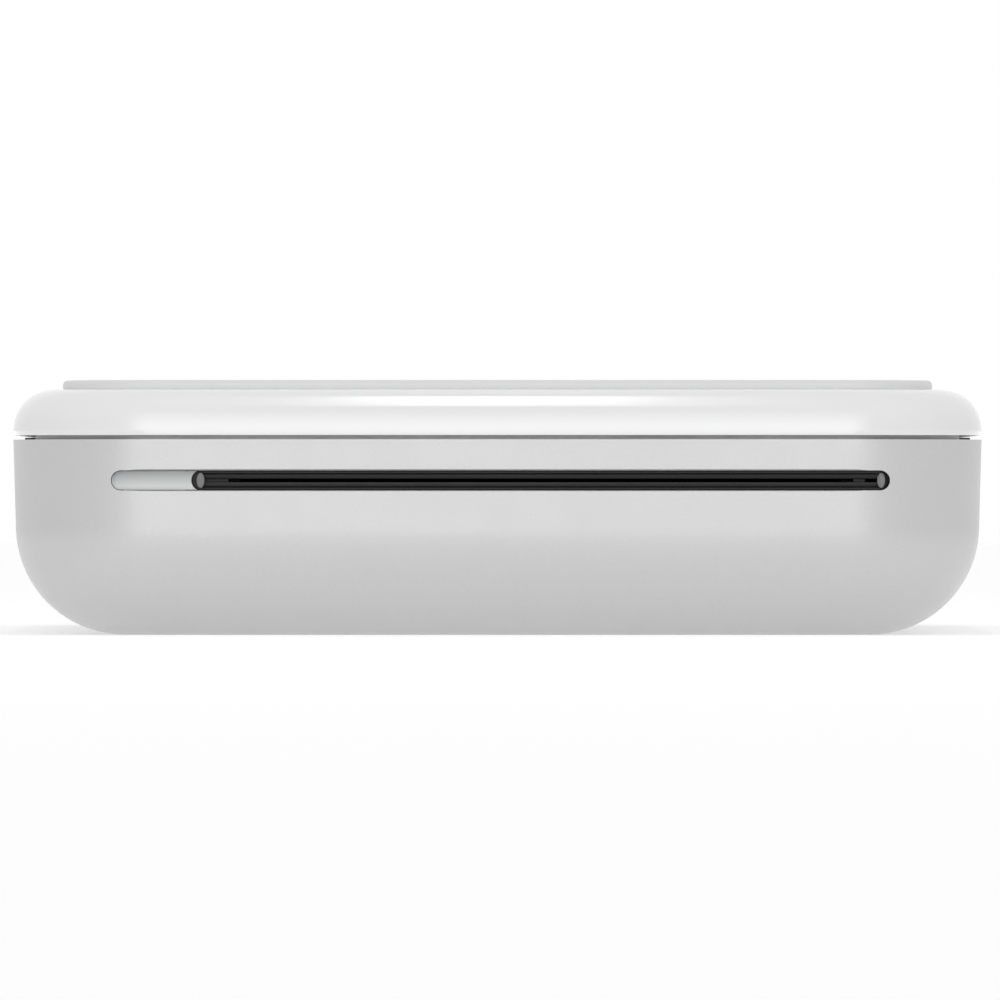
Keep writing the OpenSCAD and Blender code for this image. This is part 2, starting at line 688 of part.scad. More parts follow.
module separation_pad() {
    color("#8d8a80")
        block([path_x - 6, tray_front_y, nip_z + 0.45], [path_x + 6, tray_front_y + 0.8, deck_top_z - 0.4]);
}

module sheet_sensors() {
    color("#111213")
        for (x = sensor_xs)
            block([x - sensor_w / 2, sensor_y, tray_under_z - 0.6],
                [x + sensor_w / 2, sensor_y + sensor_l, path_z - 0.4]);
}

// ---------------------------------------------------------------- exit slot and status light

module exit_guide() {
    lip_h = 0.25;
    play = 0.05;
    face_y = front_y + 0.3;
    flange_y = front_y + case_wall + 1.05;
    back_y = bay_front_y - 1.3;
    mid_x = (guide_left_x + guide_right_x) / 2;
    inner_h = slot_h / 2 - lip_h;
    color("#161719")
        difference() {
            union() {
                along_y(face_y, flange_y - face_y)
                    translate([mid_x, nip_z])
                        pill(guide_right_x - guide_left_x - play, slot_h - 2 * play);
                block([guide_left_x + 0.3, flange_y, nip_z - slot_h / 2 - 0.5],
                    [tray_right_x + 1.9, back_y, nip_z + slot_h / 2 + 0.5]);
            }
            // the slot, whose lips lie behind its two end cheeks
            block([slot_left_x, front_y - 1, nip_z - slot_h], [slot_right_x, face_y + 0.5, nip_z + slot_h]);
            block([slot_left_x, front_y - 1, nip_z - inner_h], [slot_right_x, flange_y, nip_z + inner_h]);
            // the sheet's way behind it, opening out towards the rollers
            block([tray_left_x - 0.9, flange_y - 1, nip_z - inner_h],
                [tray_right_x + 0.9, back_y + 1, nip_z + inner_h]);
            along_x(tray_left_x - 0.9, tray_right_x - tray_left_x + 1.8)
                polygon([[back_y + 1, nip_z - 1.25], [back_y + 1, nip_z + 1.25], [back_y - 3, nip_z]]);
        }
}

light_back_y = front_y + case_wall + 1.4;

module status_light_guide() {
    play = 0.05;
    wide = guide_left_x - window_left_x;
    stem_x = window_left_x + wide / 2;
    color([0.92, 0.93, 0.95, 0.6]) {
        along_y(front_y + 0.28, light_back_y - 0.8 - front_y - 0.28)
            difference() {
                translate([window_left_x + wide, nip_z]) pill(2 * wide - 2 * play, slot_h - 2 * play);
                translate([guide_left_x + slot_h / 2, nip_z]) circle(slot_h / 2 + play);
                translate([guide_left_x + slot_h / 2, nip_z - 2]) square([20, 4]);
            }
        block([window_left_x + 1.1, light_back_y - 0.8, nip_z - slot_h / 2 - 0.3],
            [guide_left_x - 0.6, light_back_y, nip_z + slot_h / 2 + 0.3]);
        block([stem_x - 1.1, light_back_y, nip_z - 0.8], [stem_x + 1.1, light_back_y + 0.6, nip_z + 0.8]);
    }
}

led_mid_x = window_left_x + light_w * 0.5;
led_front_y = light_back_y + 0.7;

module status_led() {
    color("#f4f1dc")
        block([led_mid_x - 1, led_front_y, nip_z - 0.7], [led_mid_x + 1, led_front_y + 0.7, nip_z + 0.7]);
}

module light_board() {
    color("#1f5a3a")
        block([led_mid_x - 1.7, led_front_y + 0.7, nip_z - 2.6],
            [led_mid_x + 2.4, led_front_y + 1.5, deck_z]);
}

// ---------------------------------------------------------------- print head

module head_bracket() {
    left = path_x - head_half_w + 0.4;
    wide = 2 * head_half_w - 0.8;
    color("#b9bcc0")
        difference() {
            along_x(left, wide)
                polygon([[bracket_front_y - 3.6, deck_top_z], [bracket_front_y + bracket_t, deck_top_z],
                    [bracket_front_y + bracket_t, bracket_z], [bracket_back_y - bracket_t, bracket_z],
                    [bracket_back_y - bracket_t, deck_top_z], [bracket_back_y + 3.2, deck_top_z],
                    [bracket_back_y + 3.2, deck_top_z + bracket_t], [bracket_back_y, deck_top_z + bracket_t],
                    [bracket_back_y, bracket_z + bracket_t], [bracket_front_y, bracket_z + bracket_t],
                    [bracket_front_y, deck_top_z + bracket_t],
                    [bracket_front_y - 3.6, deck_top_z + bracket_t]]);
            for (p = bracket_spots())
                translate([p[0], p[1], deck_top_z - 1]) cylinder(r = tiny_r + 0.1, h = 3);
            // lightening slots and peepholes over the two springs
            for (x = [-1, 1])
                translate([path_x + x * 6.2, platen_y + 1, bracket_z - 1])
                    linear_extrude(3) pill(9, 3);
            for (x = head_spring_xs)
                translate([x, platen_y - 0.5, bracket_z - 1]) cylinder(r = 0.9, h = 3);
        }
}

module head_heatsink() {
    left = path_x - head_half_w - 0.2;
    right = path_x + head_half_w + 0.2;
    color("#c3c6ca")
        difference() {
            block([left, heatsink_front_y, heatsink_z], [right, heatsink_back_y, heatsink_top_z]);
            // step along the front edge, and two grooves behind the heater line
            block([left + 3, heatsink_front_y - 1, heatsink_top_z - 0.9],
                [right - 3, heatsink_front_y + 0.9, heatsink_top_z + 1]);
            for (y = [platen_y + 2.4, platen_y + 3.9])
                block([left + 3, y, heatsink_top_z - 1], [right - 3, y + 0.7, heatsink_top_z + 1]);
            rod_x(left - 1, left + 2.5, head_pivot_at, head_pin_r);
            rod_x(right - 2.5, right + 1, head_pivot_at, head_pin_r);
        }
}

module head_ceramic() {
    color("#e9e6df") {
        block([path_x - head_half_w, platen_y - 3.5, ceramic_z + 0.1],
            [path_x + head_half_w, platen_y + 4.5, heatsink_z]);
        along_x(path_x - head_half_w + 1, 2 * head_half_w - 2)
            intersection() {
                translate([platen_y, ceramic_z + 1.2]) circle(1.2);
                translate([platen_y - 2, ceramic_z - 1]) square([4, 1.1 + eps]);
            }
    }
}

module head_pivot_pins() {
    color("#8f9398") {
        rod_x(left_cheek_x + cheek_t - 0.8, path_x - head_half_w + 1.9, head_pivot_at, head_pin_r);
        rod_x(path_x + head_half_w - 1.9, right_cheek_x + 0.8, head_pivot_at, head_pin_r);
    }
}

module head_springs() {
    color("#9a9da1")
        for (x = head_spring_xs)
            coil_spring([x, platen_y - 0.5], heatsink_top_z, bracket_z, head_spring_r, head_spring_turns,
                head_wire_r);
}

// Flat ribbon from the head's right end, down outside the sheet's way to the main board
cable_t = 0.2;
cable_x = hook_x - 0.4;
cable_low_z = main_board_top + 0.7;
cable_bend = 0.8;
cable_y = platen_y - 3;
cable_w = 6;

// Quarter of the ribbon's bend on its outer side, above (side 1) or below (side -1) the bend's middle
module cable_corner(side) {
    intersection() {
        difference() {
            circle(cable_bend);
            circle(cable_bend - cable_t);
        }
        translate([0, side > 0 ? 0 : -cable_bend]) square(cable_bend);
    }
}

module head_cable() {
    start_x = path_x + head_half_w - 2.4;
    mid_x = cable_x - cable_bend;
    high_z = heatsink_top_z + cable_t - cable_bend;
    color("#c58a3a")
        along_y(cable_y, cable_w) {
            translate([start_x, heatsink_top_z]) square([mid_x - start_x, cable_t]);
            translate([mid_x, high_z]) cable_corner(1);
            translate([cable_x - cable_t, cable_low_z + cable_bend])
                square([cable_t, high_z - cable_low_z - cable_bend]);
            translate([mid_x, cable_low_z + cable_bend]) cable_corner(-1);
            translate([mid_x - 1.6, cable_low_z]) square([1.6, cable_t]);
        }
}

// ---------------------------------------------------------------- rollers

module platen_shaft() {
    color("#a9adb2")
        difference() {
            rod_x(plane_outer_x - 0.4, shaft_end_x, platen_at, platen_shaft_r);
            translate([clip_x, platen_y, axle_z])
                rotate([0, 90, 0])
                    difference() {
                        cylinder(r = platen_shaft_r + 1, h = 0.4);
                        cylinder(r = platen_shaft_r - 0.3, h = 0.4);
                    }
        }
}

module platen_rubber() {
    color("#2c2c2e")
        difference() {
            rod_x(path_x - sheet_w / 2 - 1.1, path_x + sheet_w / 2 + 1.1, platen_at, platen_r);
            rod_x(path_x - sheet_w / 2 - 2, path_x + sheet_w / 2 + 2, platen_at, platen_shaft_r);
        }
}

module platen_gear() {
    color("#e6e3da")
        gear(plane_outer_x, gear_w, platen_at, roller_teeth, 0, platen_shaft_r);
}

// Flanged bush in a cheek: the flange lies against the face away from the rollers
module bush(x0, face, at, shaft_r) {
    flange_x = face > 0 ? x0 + cheek_t : x0 - 0.35;
    difference() {
        union() {
            rod_x(x0, x0 + cheek_t, at, shaft_r + 1);
            rod_x(flange_x, flange_x + 0.35, at, shaft_r + 1.6);
        }
        rod_x(x0 - 1, x0 + cheek_t + 1, at, shaft_r + bush_fit);
    }
}

module platen_bushes() {
    color("#b08a4a") {
        bush(left_cheek_x, -1, platen_at, platen_shaft_r);
        bush(right_cheek_x, 1, platen_at, platen_shaft_r);
    }
}

// Retaining clip in the groove at a shaft's right end, open at the bottom
module shaft_clip(at, shaft_r) {
    color("#5c6066")
        translate([clip_x, at[0], at[1]])
            difference() {
                rotate([0, 90, 0]) cylinder(r = shaft_r + 1.1, h = 0.4);
                translate([-1, 0, 0]) rotate([0, 90, 0]) cylinder(r = shaft_r - 0.3, h = 2);
                translate([-1, -shaft_r * 0.6, -shaft_r - 2]) cube([2, shaft_r * 1.2, shaft_r + 2]);
            }
}

module platen_clip() {
    shaft_clip(platen_at, platen_shaft_r);
}

module pickup_shaft() {
    color("#a9adb2")
        difference() {
            rod_x(plane_outer_x - 0.4, shaft_end_x, pickup_at, pickup_shaft_r);
            translate([clip_x, pickup_y, pickup_z])
                rotate([0, 90, 0])
                    difference() {
                        cylinder(r = pickup_shaft_r + 1, h = 0.4);
                        cylinder(r = pickup_shaft_r - 0.3, h = 0.4);
                    }
        }
}

module pickup_hubs() {
    color("#3a3d42")
        for (x = tyre_xs)
            difference() {
                rod_x(x - tyre_half_w - 0.2, x + tyre_half_w + 0.2, pickup_at, pickup_r - 1);
                rod_x(x - tyre_half_w - 1, x + tyre_half_w + 1, pickup_at, pickup_shaft_r);
            }
}

module pickup_tyres() {
    tread = 24;
    color("#6f7377")
        for (x = tyre_xs)
            translate([x - tyre_half_w, pickup_y, pickup_z])
                rotate([90, 0, 90])
                    difference() {
                        cylinder(r = pickup_r, h = 2 * tyre_half_w);
                        translate([0, 0, -1]) cylinder(r = pickup_r - 1, h = 10);
                        for (k = [0:tread - 1])
                            rotate([0, 0, 360 * k / tread])
                                translate([pickup_r - 0.15, -0.12, -1]) cube([1, 0.24, 10]);
                    }
}

module pickup_gear() {
    color("#e6e3da")
        gear(plane_outer_x, gear_w, pickup_at, roller_teeth, pickup_turn, pickup_shaft_r);
}

module pickup_bushes() {
    color("#b08a4a") {
        bush(left_cheek_x, -1, pickup_at, pickup_shaft_r);
        bush(right_cheek_x, 1, pickup_at, pickup_shaft_r);
    }
}

module pickup_clip() {
    shaft_clip(pickup_at, pickup_shaft_r);
}

// ---------------------------------------------------------------- motor and gear train

module feed_motor() {
    face_x = left_cheek_x + cheek_t;
    color("#aeb2b6")
        difference() {
            union() {
                intersection() {
                    rod_x(face_x, face_x + motor_l, motor_at, motor_d / 2);
                    block([face_x - 1, motor_at[0] - motor_d, motor_at[1] - motor_flat / 2],
                        [face_x + motor_l + 1, motor_at[0] + motor_d, motor_at[1] + motor_flat / 2]);
                }
                rod_x(face_x - 1.2, face_x, motor_at, 2);
                rod_x(face_x + motor_l, face_x + motor_l + 1, motor_at, 2.4);
                for (y = [-1, 1])
                    block([face_x + motor_l, motor_at[0] + y * 3.8 - 0.7, motor_at[1] - 0.25],
                        [motor_end_x, motor_at[0] + y * 3.8 + 0.7, motor_at[1] + 0.25]);
            }
            rod_x(face_x - 2, face_x + motor_l + 0.4, motor_at, 0.5 + bush_fit);
            rod_x(face_x - 0.2, face_x + 2.2, [motor_at[0] - 3.9, motor_at[1]], tiny_r);
            rod_x(face_x - 0.2, face_x + 2.2, [motor_at[0] + 3.9, motor_at[1]], tiny_r);
        }
}

module motor_shaft() {
    color("#8f9398")
        rod_x(plane_inner_x, left_cheek_x + cheek_t + motor_l + 0.2, motor_at, 0.5);
}

module motor_pinion() {
    color("#b08a4a")
        gear(plane_inner_x, gear_w, motor_at, pinion_teeth, pinion_turn, 0.5);
}

module idler_gear_front() {
    color("#e6e3da")
        gear(plane_outer_x, gear_w, idler_front_at, idler_teeth, idler_front_turn, axle_r + bush_fit);
}

// Large wheel in the inner plane, small wheel in the outer plane, on one hub
module reduction_gear() {
    color("#dcd8cc") {
        gear(plane_inner_x, gear_w, reduction_at, wheel_teeth, 0, axle_r + bush_fit);
        gear(plane_outer_x, gear_w + 0.3, reduction_at, idler_teeth, reduction_turn, axle_r + bush_fit);
    }
}

module idler_gear_rear() {
    color("#e6e3da")
        gear(plane_outer_x, gear_w, idler_rear_at, idler_teeth, idler_rear_turn, axle_r + bush_fit);
}

module idler_posts() {
    color("#a9adb2")
        for (at = [idler_front_at, reduction_at, idler_rear_at])
            rod_x(gear_plate_x, left_cheek_x + 1, at, axle_r);
}

module gear_plate() {
    top_z = deck_z - 0.2;
    low_z = main_board_top + 0.8;
    color("#9fa3a8")
        difference() {
            along_x(gear_plate_x, gear_plate_t)
                translate([(platen_at[0] + pickup_at[0]) / 2, (top_z + low_z) / 2])
                    rounded_rect(feed_span + 4, top_z - low_z, 2);
            for (at = [idler_front_at, reduction_at, idler_rear_at])
                rod_x(gear_plate_x - 1, gear_plate_x + 2, at, axle_r);
            for (at = [platen_at, pickup_at])
                rod_x(gear_plate_x - 1, gear_plate_x + 2, at, platen_shaft_r + 0.6);
        }
}

module gear_cover() {
    left = gear_bay_x - 0.8;
    right = left_cheek_x + 0.9;
    front = gear_bay_front_y - 0.8;
    back = gear_bay_back_y + 0.8;
    color("#1d1e20")
        difference() {
            union() {
                translate([(left + right) / 2, (front + back) / 2, deck_top_z])
                    linear_extrude(gear_cover_in_z + gear_cover_t - deck_top_z)
                        rounded_rect(right - left, back - front, 1.4);
                for (p = gear_cover_spots())
                    translate([p[0], p[1], deck_top_z]) cylinder(r = 1.7, h = gear_cover_t);
            }
            block([gear_bay_x, gear_bay_front_y, deck_top_z - 1],
                [left_cheek_x, gear_bay_back_y, gear_cover_in_z]);
            for (p = gear_cover_spots())
                translate([p[0], p[1], deck_top_z - 1]) {
                    cylinder(r = tiny_r + 0.1, h = 5);
                    translate([0, 0, 1 + gear_cover_t]) cylinder(r = tiny_head_r + 0.1, h = 5);
                }
        }
}

// ---------------------------------------------------------------- boards and battery

// Board round the battery and the motor, with a tongue to the head's ribbon
function main_board_outline() = [[board_left_x, pickup_y + 11], [left_cheek_x + 0.4, pickup_y + 11],
    [left_cheek_x + 0.4, pickup_y + 0.5], [battery_x + 8, pickup_y + 0.5], [battery_x + 8, platen_y + 5.5],
    [cable_x - 13, platen_y + 5.5], [cable_x - 13, cable_y - 1.2], [board_right_x, cable_y - 1.2],
    [board_right_x, battery_y - 8], [battery_x - 2, battery_y - 8], [battery_x - 2, board_back_y],
    [board_left_x, board_back_y]];

module main_board() {
    color("#1f5a3a")
        difference() {
            translate([0, 0, main_board_z]) linear_extrude(board_t) polygon(main_board_outline());
            for (p = main_board_spots)
                translate([p[0], p[1], 0]) cylinder(r = tiny_r + 0.1, h = 9);
            for (p = screw_spots)
                translate([p[0], p[1], 0]) cylinder(r = post_r + 0.4, h = 9);
        }
}

// A part standing on the main board: middle, size across and length, height
module on_board(x, y, w, l, h) {
    translate([x - w / 2, y - l / 2, main_board_top]) cube([w, l, h]);
}

module wireless_module() {
    color("#c8ccd0")
        difference() {
            on_board(module_x, module_y, module_w, module_l, 2.2);
            for (x = [-1, 0, 1], y = [-1, 0, 1])
                translate([module_x + 3.4 * x, module_y + 4 * y, main_board_top + 1.9])
                    cylinder(r = 0.6, h = 1);
        }
}

module board_chips() {
    color("#1a1b1d") {
        on_board(chip_x, board_back_y - 14, 10, 10, 1);
        on_board(battery_x - 11, pickup_y + 21, 8, 8, 1);
        on_board(board_left_x + 13, pickup_y + 14, 5, 5, 0.9);
        on_board(board_right_x - 14, pickup_y - 8, 7, 7, 0.9);
        on_board(battery_x + 13, pickup_y - 14, 4, 5, 0.8);
    }
}

module storage_capacitor() {
    color("#2b2f38")
        translate([battery_x - 17.5, pickup_y + 10, main_board_top + 2.6])
            rotate([0, 90, 0])
                difference() {
                    cylinder(r = 2.6, h = 10);
                    translate([0, 0, 8.6])
                        difference() {
                            cylinder(r = 3, h = 0.5);
                            cylinder(r = 2.35, h = 0.5);
                        }
                }
}

module power_inductor() {
    color("#4a4d52")
        translate([board_left_x + 6.5, pickup_y + 18.5, main_board_top])
            difference() {
                linear_extrude(2.4) rounded_rect(6, 6, 1.2);
                translate([0, 0, 2]) cylinder(r = 1.9, h = 1);
            }
}

module head_connector() {
    right = cable_x - cable_bend - 0.3;
    color("#e8e4d8")
        difference() {
            block([right - 4.4, cable_y - 0.8, main_board_top],
                [right, cable_y + cable_w + 0.8, main_board_top + 1.4]);
            block([right - 1.3, cable_y, cable_low_z], [right + 1, cable_y + cable_w, cable_low_z + cable_t]);
        }
}

module lead_connectors() {
    color("#efece2") {
        on_board(motor_end_x - 10.2, pickup_y + 3.4, 4.6, 4, 3);
        on_board(battery_x - 4.2, battery_y + 2.7, 4, 5.4, 3);
    }
}

module battery() {
    color("#7d8288")
        difference() {
            translate([battery_x + battery_w / 2, battery_y + battery_l / 2, battery_z])
                linear_extrude(battery_t) rounded_rect(battery_w, battery_l, 1.5);
            block([battery_x + 3, battery_y - 1, battery_z + battery_t - 0.6],
                [battery_x + battery_w - 3, battery_y + 2.2, battery_z + battery_t + 1]);
        }
}

// Two leads from the battery's front recess round its corner to the connector on the board, as points
// counted from the battery's left front corner
battery_lead_a = [[-5.15, 0, 6.6], [-5.15, -0.6, 6.6], [-4.65, -1.6, 6.7], [-3.45, -2.3, 6.9],
    [-1.05, -2.5, 7.1], [2.45, -2.4, 7.4], [4.95, -1.9, 7.65], [5.95, -0.5, 7.75], [6.05, 1.1, 7.75],
    [6.05, 2.2, 7.75]];
battery_lead_b = [[-3.55, 0, 6.6], [-3.55, -0.4, 6.6], [-3.15, -1, 6.65], [-2.05, -1.25, 6.8],
    [-0.05, -1.2, 7.1], [2.35, -1, 7.5], [3.95, -0.2, 7.7], [4.55, 0.9, 7.75], [4.55, 2.2, 7.75]];

module battery_lead() {
    color("#b3261e")
        translate([battery_x, battery_y, 0]) {
            tube(battery_lead_a, 0.4, 8);
            tube(battery_lead_b, 0.4, 8);
        }
}

// Two leads from the motor's tags, low under the pickup roller, to the connector on the board, as points
// counted from the tags' ends and the pickup axis
motor_lead_a = [[0, -3.9, 6.8], [0.5, -3.9, 6.8], [0.9, -3.2, 6.3], [0.4, -1.6, 5.85], [-1.6, 0.1, 5.75],
    [-4.2, 1.5, 5.8], [-6.2, 2.25, 6.2], [-7.3, 2.4, 6.4], [-7.9, 2.4, 6.4]];
motor_lead_b = [[0, -11.5, 6.8], [0.6, -11.5, 6.8], [1.4, -11, 6.5], [2, -9.5, 6.1], [2.4, -6, 5.8],
    [2.2, -2.6, 5.7], [0.6, 0.2, 5.7], [-2.6, 2.4, 5.75], [-5.6, 3.5, 6.1], [-7.3, 3.7, 6.4],
    [-7.9, 3.7, 6.4]];

module motor_lead() {
    color("#2a2a2c")
        translate([motor_end_x, pickup_y, 0]) {
            tube(motor_lead_a, 0.4, 8);
            tube(motor_lead_b, 0.4, 8);
        }
}

module rear_board() {
    color("#1f5a3a")
        difference() {
            block([-rear_board_w / 2, rear_board_front_y, rear_board_z],
                [rear_board_w / 2, rear_board_back_y, rear_board_top]);
            for (p = rear_board_spots)
                translate([p[0], p[1], 0]) cylinder(r = tiny_r + 0.1, h = 20);
        }
}

module usb_socket() {
    mid_z = rear_board_top + usb_h / 2;
    depth = 6.4;
    back_y = rear_board_back_y - 4.6;
    color("#c4c7cb") {
        difference() {
            along_y(back_y, depth) translate([usb_x, mid_z]) rounded_rect(usb_w, usb_h, 0.8);
            along_y(back_y + 1, depth)
                translate([usb_x, mid_z]) rounded_rect(usb_w - 0.7, usb_h - 0.7, 0.5);
        }
        // the tongue that carries the contacts
        block([usb_x - usb_w / 4, back_y + 1 - eps, mid_z - 0.1],
            [usb_x + usb_w / 4, back_y + depth - 1, mid_z + 0.5]);
    }
}

module power_switch() {
    color("#2b2d30")
        difference() {
            block([button_x - 3, rear_board_back_y - 4.2, rear_board_top],
                [button_x + 3, rear_board_back_y - 0.6, rear_board_top + 3]);
            rod_y(rear_board_back_y - 1.6, rear_board_back_y, [button_x, rear_board_top + 1.4], 1.05);
        }
}

module power_switch_plunger() {
    color("#d9d9d4")
        rod_y(rear_board_back_y - 1.25, button_back_y - 0.3, [button_x, rear_board_top + 1.4], 1);
}

module power_button() {
    color("#cfcfcf") {
        along_y(button_back_y, rear_y - 0.1 - button_back_y)
            translate([button_x, rear_z]) pill(button_w, button_h);
        along_y(button_back_y, 0.6)
            translate([button_x, rear_z]) pill(button_w + 1.6, button_h + 1.6);
    }
}

module reset_switch() {
    color("#2b2d30")
        difference() {
            block([reset_x - 1.8, rear_board_back_y - 3.2, rear_board_top],
                [reset_x + 1.8, rear_board_back_y - 0.6, rear_board_top + 2.8]);
            rod_y(rear_board_back_y - 1.4, rear_board_back_y, [reset_x, rear_board_top + 1.4], 0.65);
        }
}

module reset_plunger() {
    color("#d9d9d4")
        rod_y(rear_board_back_y - 1.1, rear_board_back_y + 0.1, [reset_x, rear_board_top + 1.4], 0.6);
}

module charge_light() {
    color("#f2f2ee") {
        rod_y(rear_board_back_y - 1, rear_y - case_wall / 2, [led_x, rear_z], hole_r - 0.05);
        block([led_x - 0.9, rear_board_back_y - 1.8, rear_board_top],
            [led_x + 0.9, rear_board_back_y - 0.4, rear_z + 0.7]);
    }
}

module chassis_screws() {
    color("#8d9095")
        for (p = screw_spots)
            screw(p, deck_top_z, screw_tip_z, screw_r, screw_head_r, screw_head_h);
}

module small_screws() {
    color("#8d9095") {
        for (p = bracket_spots())
            screw(p, deck_top_z + bracket_t + tiny_head_h, deck_top_z - 1, tiny_r, tiny_head_r, tiny_head_h);
        for (p = gear_cover_spots())
            screw(p, deck_top_z + gear_cover_t + tiny_head_h, deck_top_z - 1, tiny_r, tiny_head_r, tiny_head_h);
        for (p = main_board_spots)
            screw(p, main_board_top + tiny_head_h, case_floor + 0.6, tiny_r, tiny_head_r, tiny_head_h);
        for (p = rear_board_spots)
            screw(p, rear_board_top + tiny_head_h, case_floor + 0.6, tiny_r, tiny_head_r, tiny_head_h);
    }
}

// ---------------------------------------------------------------- cover

// Hook on the cover's right side: its foot lies under a keeper, its top slopes as the ramp does
module hook(y) {
    ramp = tan(hook_slope);
    top_z = rim_z - 1 - hook_gap;
    low_z = top_z - hook_reach * ramp - 0.9;
    along_x(hook_x, lip_out_x - 0.1 - hook_x)
        polygon([[y - hook_reach, low_z], [y + hook_reach, low_z], [y + hook_reach, top_z - hook_reach * ramp],
            [y, top_z], [y - hook_reach, top_z]]);
    block([hook_x, y - hook_reach, low_z], [hook_x + hook_t, y + hook_reach, ceiling_z + 0.1]);
}

module top_cover() {
    panel_w = body_w - 2 * panel_margin;
    panel_l = body_l - 2 * panel_margin;
    ear_t = 1.2;
    color("#f1f1f1")
        difference() {
            union() {
                translate([0, 0, cover_z])
                    difference() {
                        lid(0, cover_h, cover_edge_r);
                        translate([0, 0, -1])
                            lid(cover_wall, cover_h - cover_top_wall + 1, cover_edge_r - cover_wall);
                    }
                both_sides()
                    for (y = keeper_ys) hook(y);
                // stiffening ribs and the pads that rest on the case's lips
                for (y = [tray_back_y - 12, tray_back_y + 6])
                    block([4.6 - hook_x, y, ceiling_z - 0.7], [hook_x - 4.6, y + 1, ceiling_z + 0.1]);
                for (x = [-front_lip_x + 5, front_lip_x - 5])
                    block([x - 1.5, lip_front_y + 0.1, lip_top_z + 0.05],
                        [x + 1.5, lip_front_y + lip_t + 0.6, ceiling_z + 0.1]);
                // ears of the press plate's pin
                for (x = [path_x - plate_w / 2 - 0.3 - ear_t, path_x + plate_w / 2 + 0.3])
                    along_x(x, ear_t)
                        union() {
                            translate(plate_pivot_at) circle(1.6);
                            translate([plate_pivot_at[0] - 1.6, plate_pivot_at[1]])
                                square([3.2, ceiling_z + 0.1 - plate_pivot_at[1]]);
                        }
            }
            // recess that takes the top panel
            translate([0, 0, shoulder_z - 0.4])
                linear_extrude(2) rounded_rect(panel_w + 0.1, panel_l + 0.1, corner_r - panel_margin + 0.05);
            rod_x(path_x - plate_w, path_x + plate_w, plate_pivot_at, plate_pin_r);
        }
}

module top_panel() {
    panel_w = body_w - 2 * panel_margin;
    panel_l = body_l - 2 * panel_margin;
    reach = corner_r - panel_margin;
    edge = 0.4;
    color("#dedede")
        translate([0, 0, shoulder_z - 0.4])
            union() {
                swept_body(panel_w, panel_l, reach) lid_edge(reach, panel_rise + 0.4, edge);
                translate([0, 0, (panel_rise + 0.4) / 2])
                    cube([panel_w - 2 * reach, panel_l - 2 * reach, panel_rise + 0.4], center = true);
            }
}

// Sprung plate that presses the sheets on to the pickup tyres
module press_plate() {
    left = path_x - plate_w / 2;
    color("#8d9095")
        difference() {
            union() {
                along_x(left, plate_w)
                    polygon([[plate_tip_y, plate_rest_z + 1], [plate_tip_y + 1, plate_rest_z],
                        [pickup_y + 5, plate_rest_z], [plate_pivot_at[0], plate_pivot_at[1] - 1.2],
                        [plate_pivot_at[0], plate_pivot_at[1] - 0.3], [pickup_y + 4.6, plate_rest_z + plate_t],
                        [plate_tip_y + 1, plate_rest_z + plate_t], [plate_tip_y, plate_rest_z + plate_t + 1]]);
                rod_x(left, left + plate_w, plate_pivot_at, 1.2);
                for (x = plate_spring_xs)
                    translate([x, plate_seat_y, plate_rest_z + plate_t - eps])
                        cylinder(r = plate_spring_r + 0.3, h = 0.5);
            }
            rod_x(left - 1, left + plate_w + 1, plate_pivot_at, plate_pin_r + bush_fit);
            block([path_x - 8, pickup_y + 7, plate_rest_z - 1], [path_x + 8, plate_pivot_at[0] + 3, ceiling_z]);
        }
}

module press_pad() {
    color("#6a4a35")
        block([path_x - plate_w / 2 + 0.8, pickup_y - 3.5, plate_rest_z - 0.3],
            [path_x + plate_w / 2 - 0.8, pickup_y + 3.5, plate_rest_z]);
}

module press_plate_pin() {
    color("#a9adb2")
        rod_x(path_x - plate_w / 2 - 1.5, path_x + plate_w / 2 + 1.5, plate_pivot_at, plate_pin_r);
}

module press_plate_springs() {
    color("#9a9da1")
        for (x = plate_spring_xs)
            coil_spring([x, plate_seat_y], plate_spring_z, ceiling_z, plate_spring_r, plate_spring_turns,
                plate_wire_r);
}

// ---------------------------------------------------------------- assembly

echo("least gap in the head's springs", coil_gap(bracket_z - heatsink_top_z, head_spring_r, head_spring_turns,
    head_wire_r));
echo("least gap in the plate's springs", coil_gap(ceiling_z - plate_spring_z, plate_spring_r,
    plate_spring_turns, plate_wire_r));

bottom_case();
chassis();
exit_guide();
status_light_guide();
light_board();
status_led();
head_bracket();
head_heatsink();
head_ceramic();
head_pivot_pins();
head_springs();
head_cable();
platen_shaft();
platen_rubber();
platen_gear();
platen_bushes();
platen_clip();
pickup_shaft();
pickup_hubs();
pickup_tyres();
pickup_gear();
pickup_bushes();
pickup_clip();
feed_motor();
motor_shaft();
motor_pinion();
idler_gear_front();
reduction_gear();
idler_gear_rear();
idler_posts();
gear_plate();
gear_cover();
separation_pad();
sheet_sensors();
main_board();
wireless_module();
board_chips();
storage_capacitor();
power_inductor();
head_connector();
lead_connectors();
battery();
battery_lead();
motor_lead();
rear_board();
usb_socket();
power_switch();
power_switch_plunger();
power_button();
reset_switch();
reset_plunger();
charge_light();
chassis_screws();
small_screws();
top_cover();
top_panel();
press_plate();
press_pad();
press_plate_pin();
press_plate_springs();
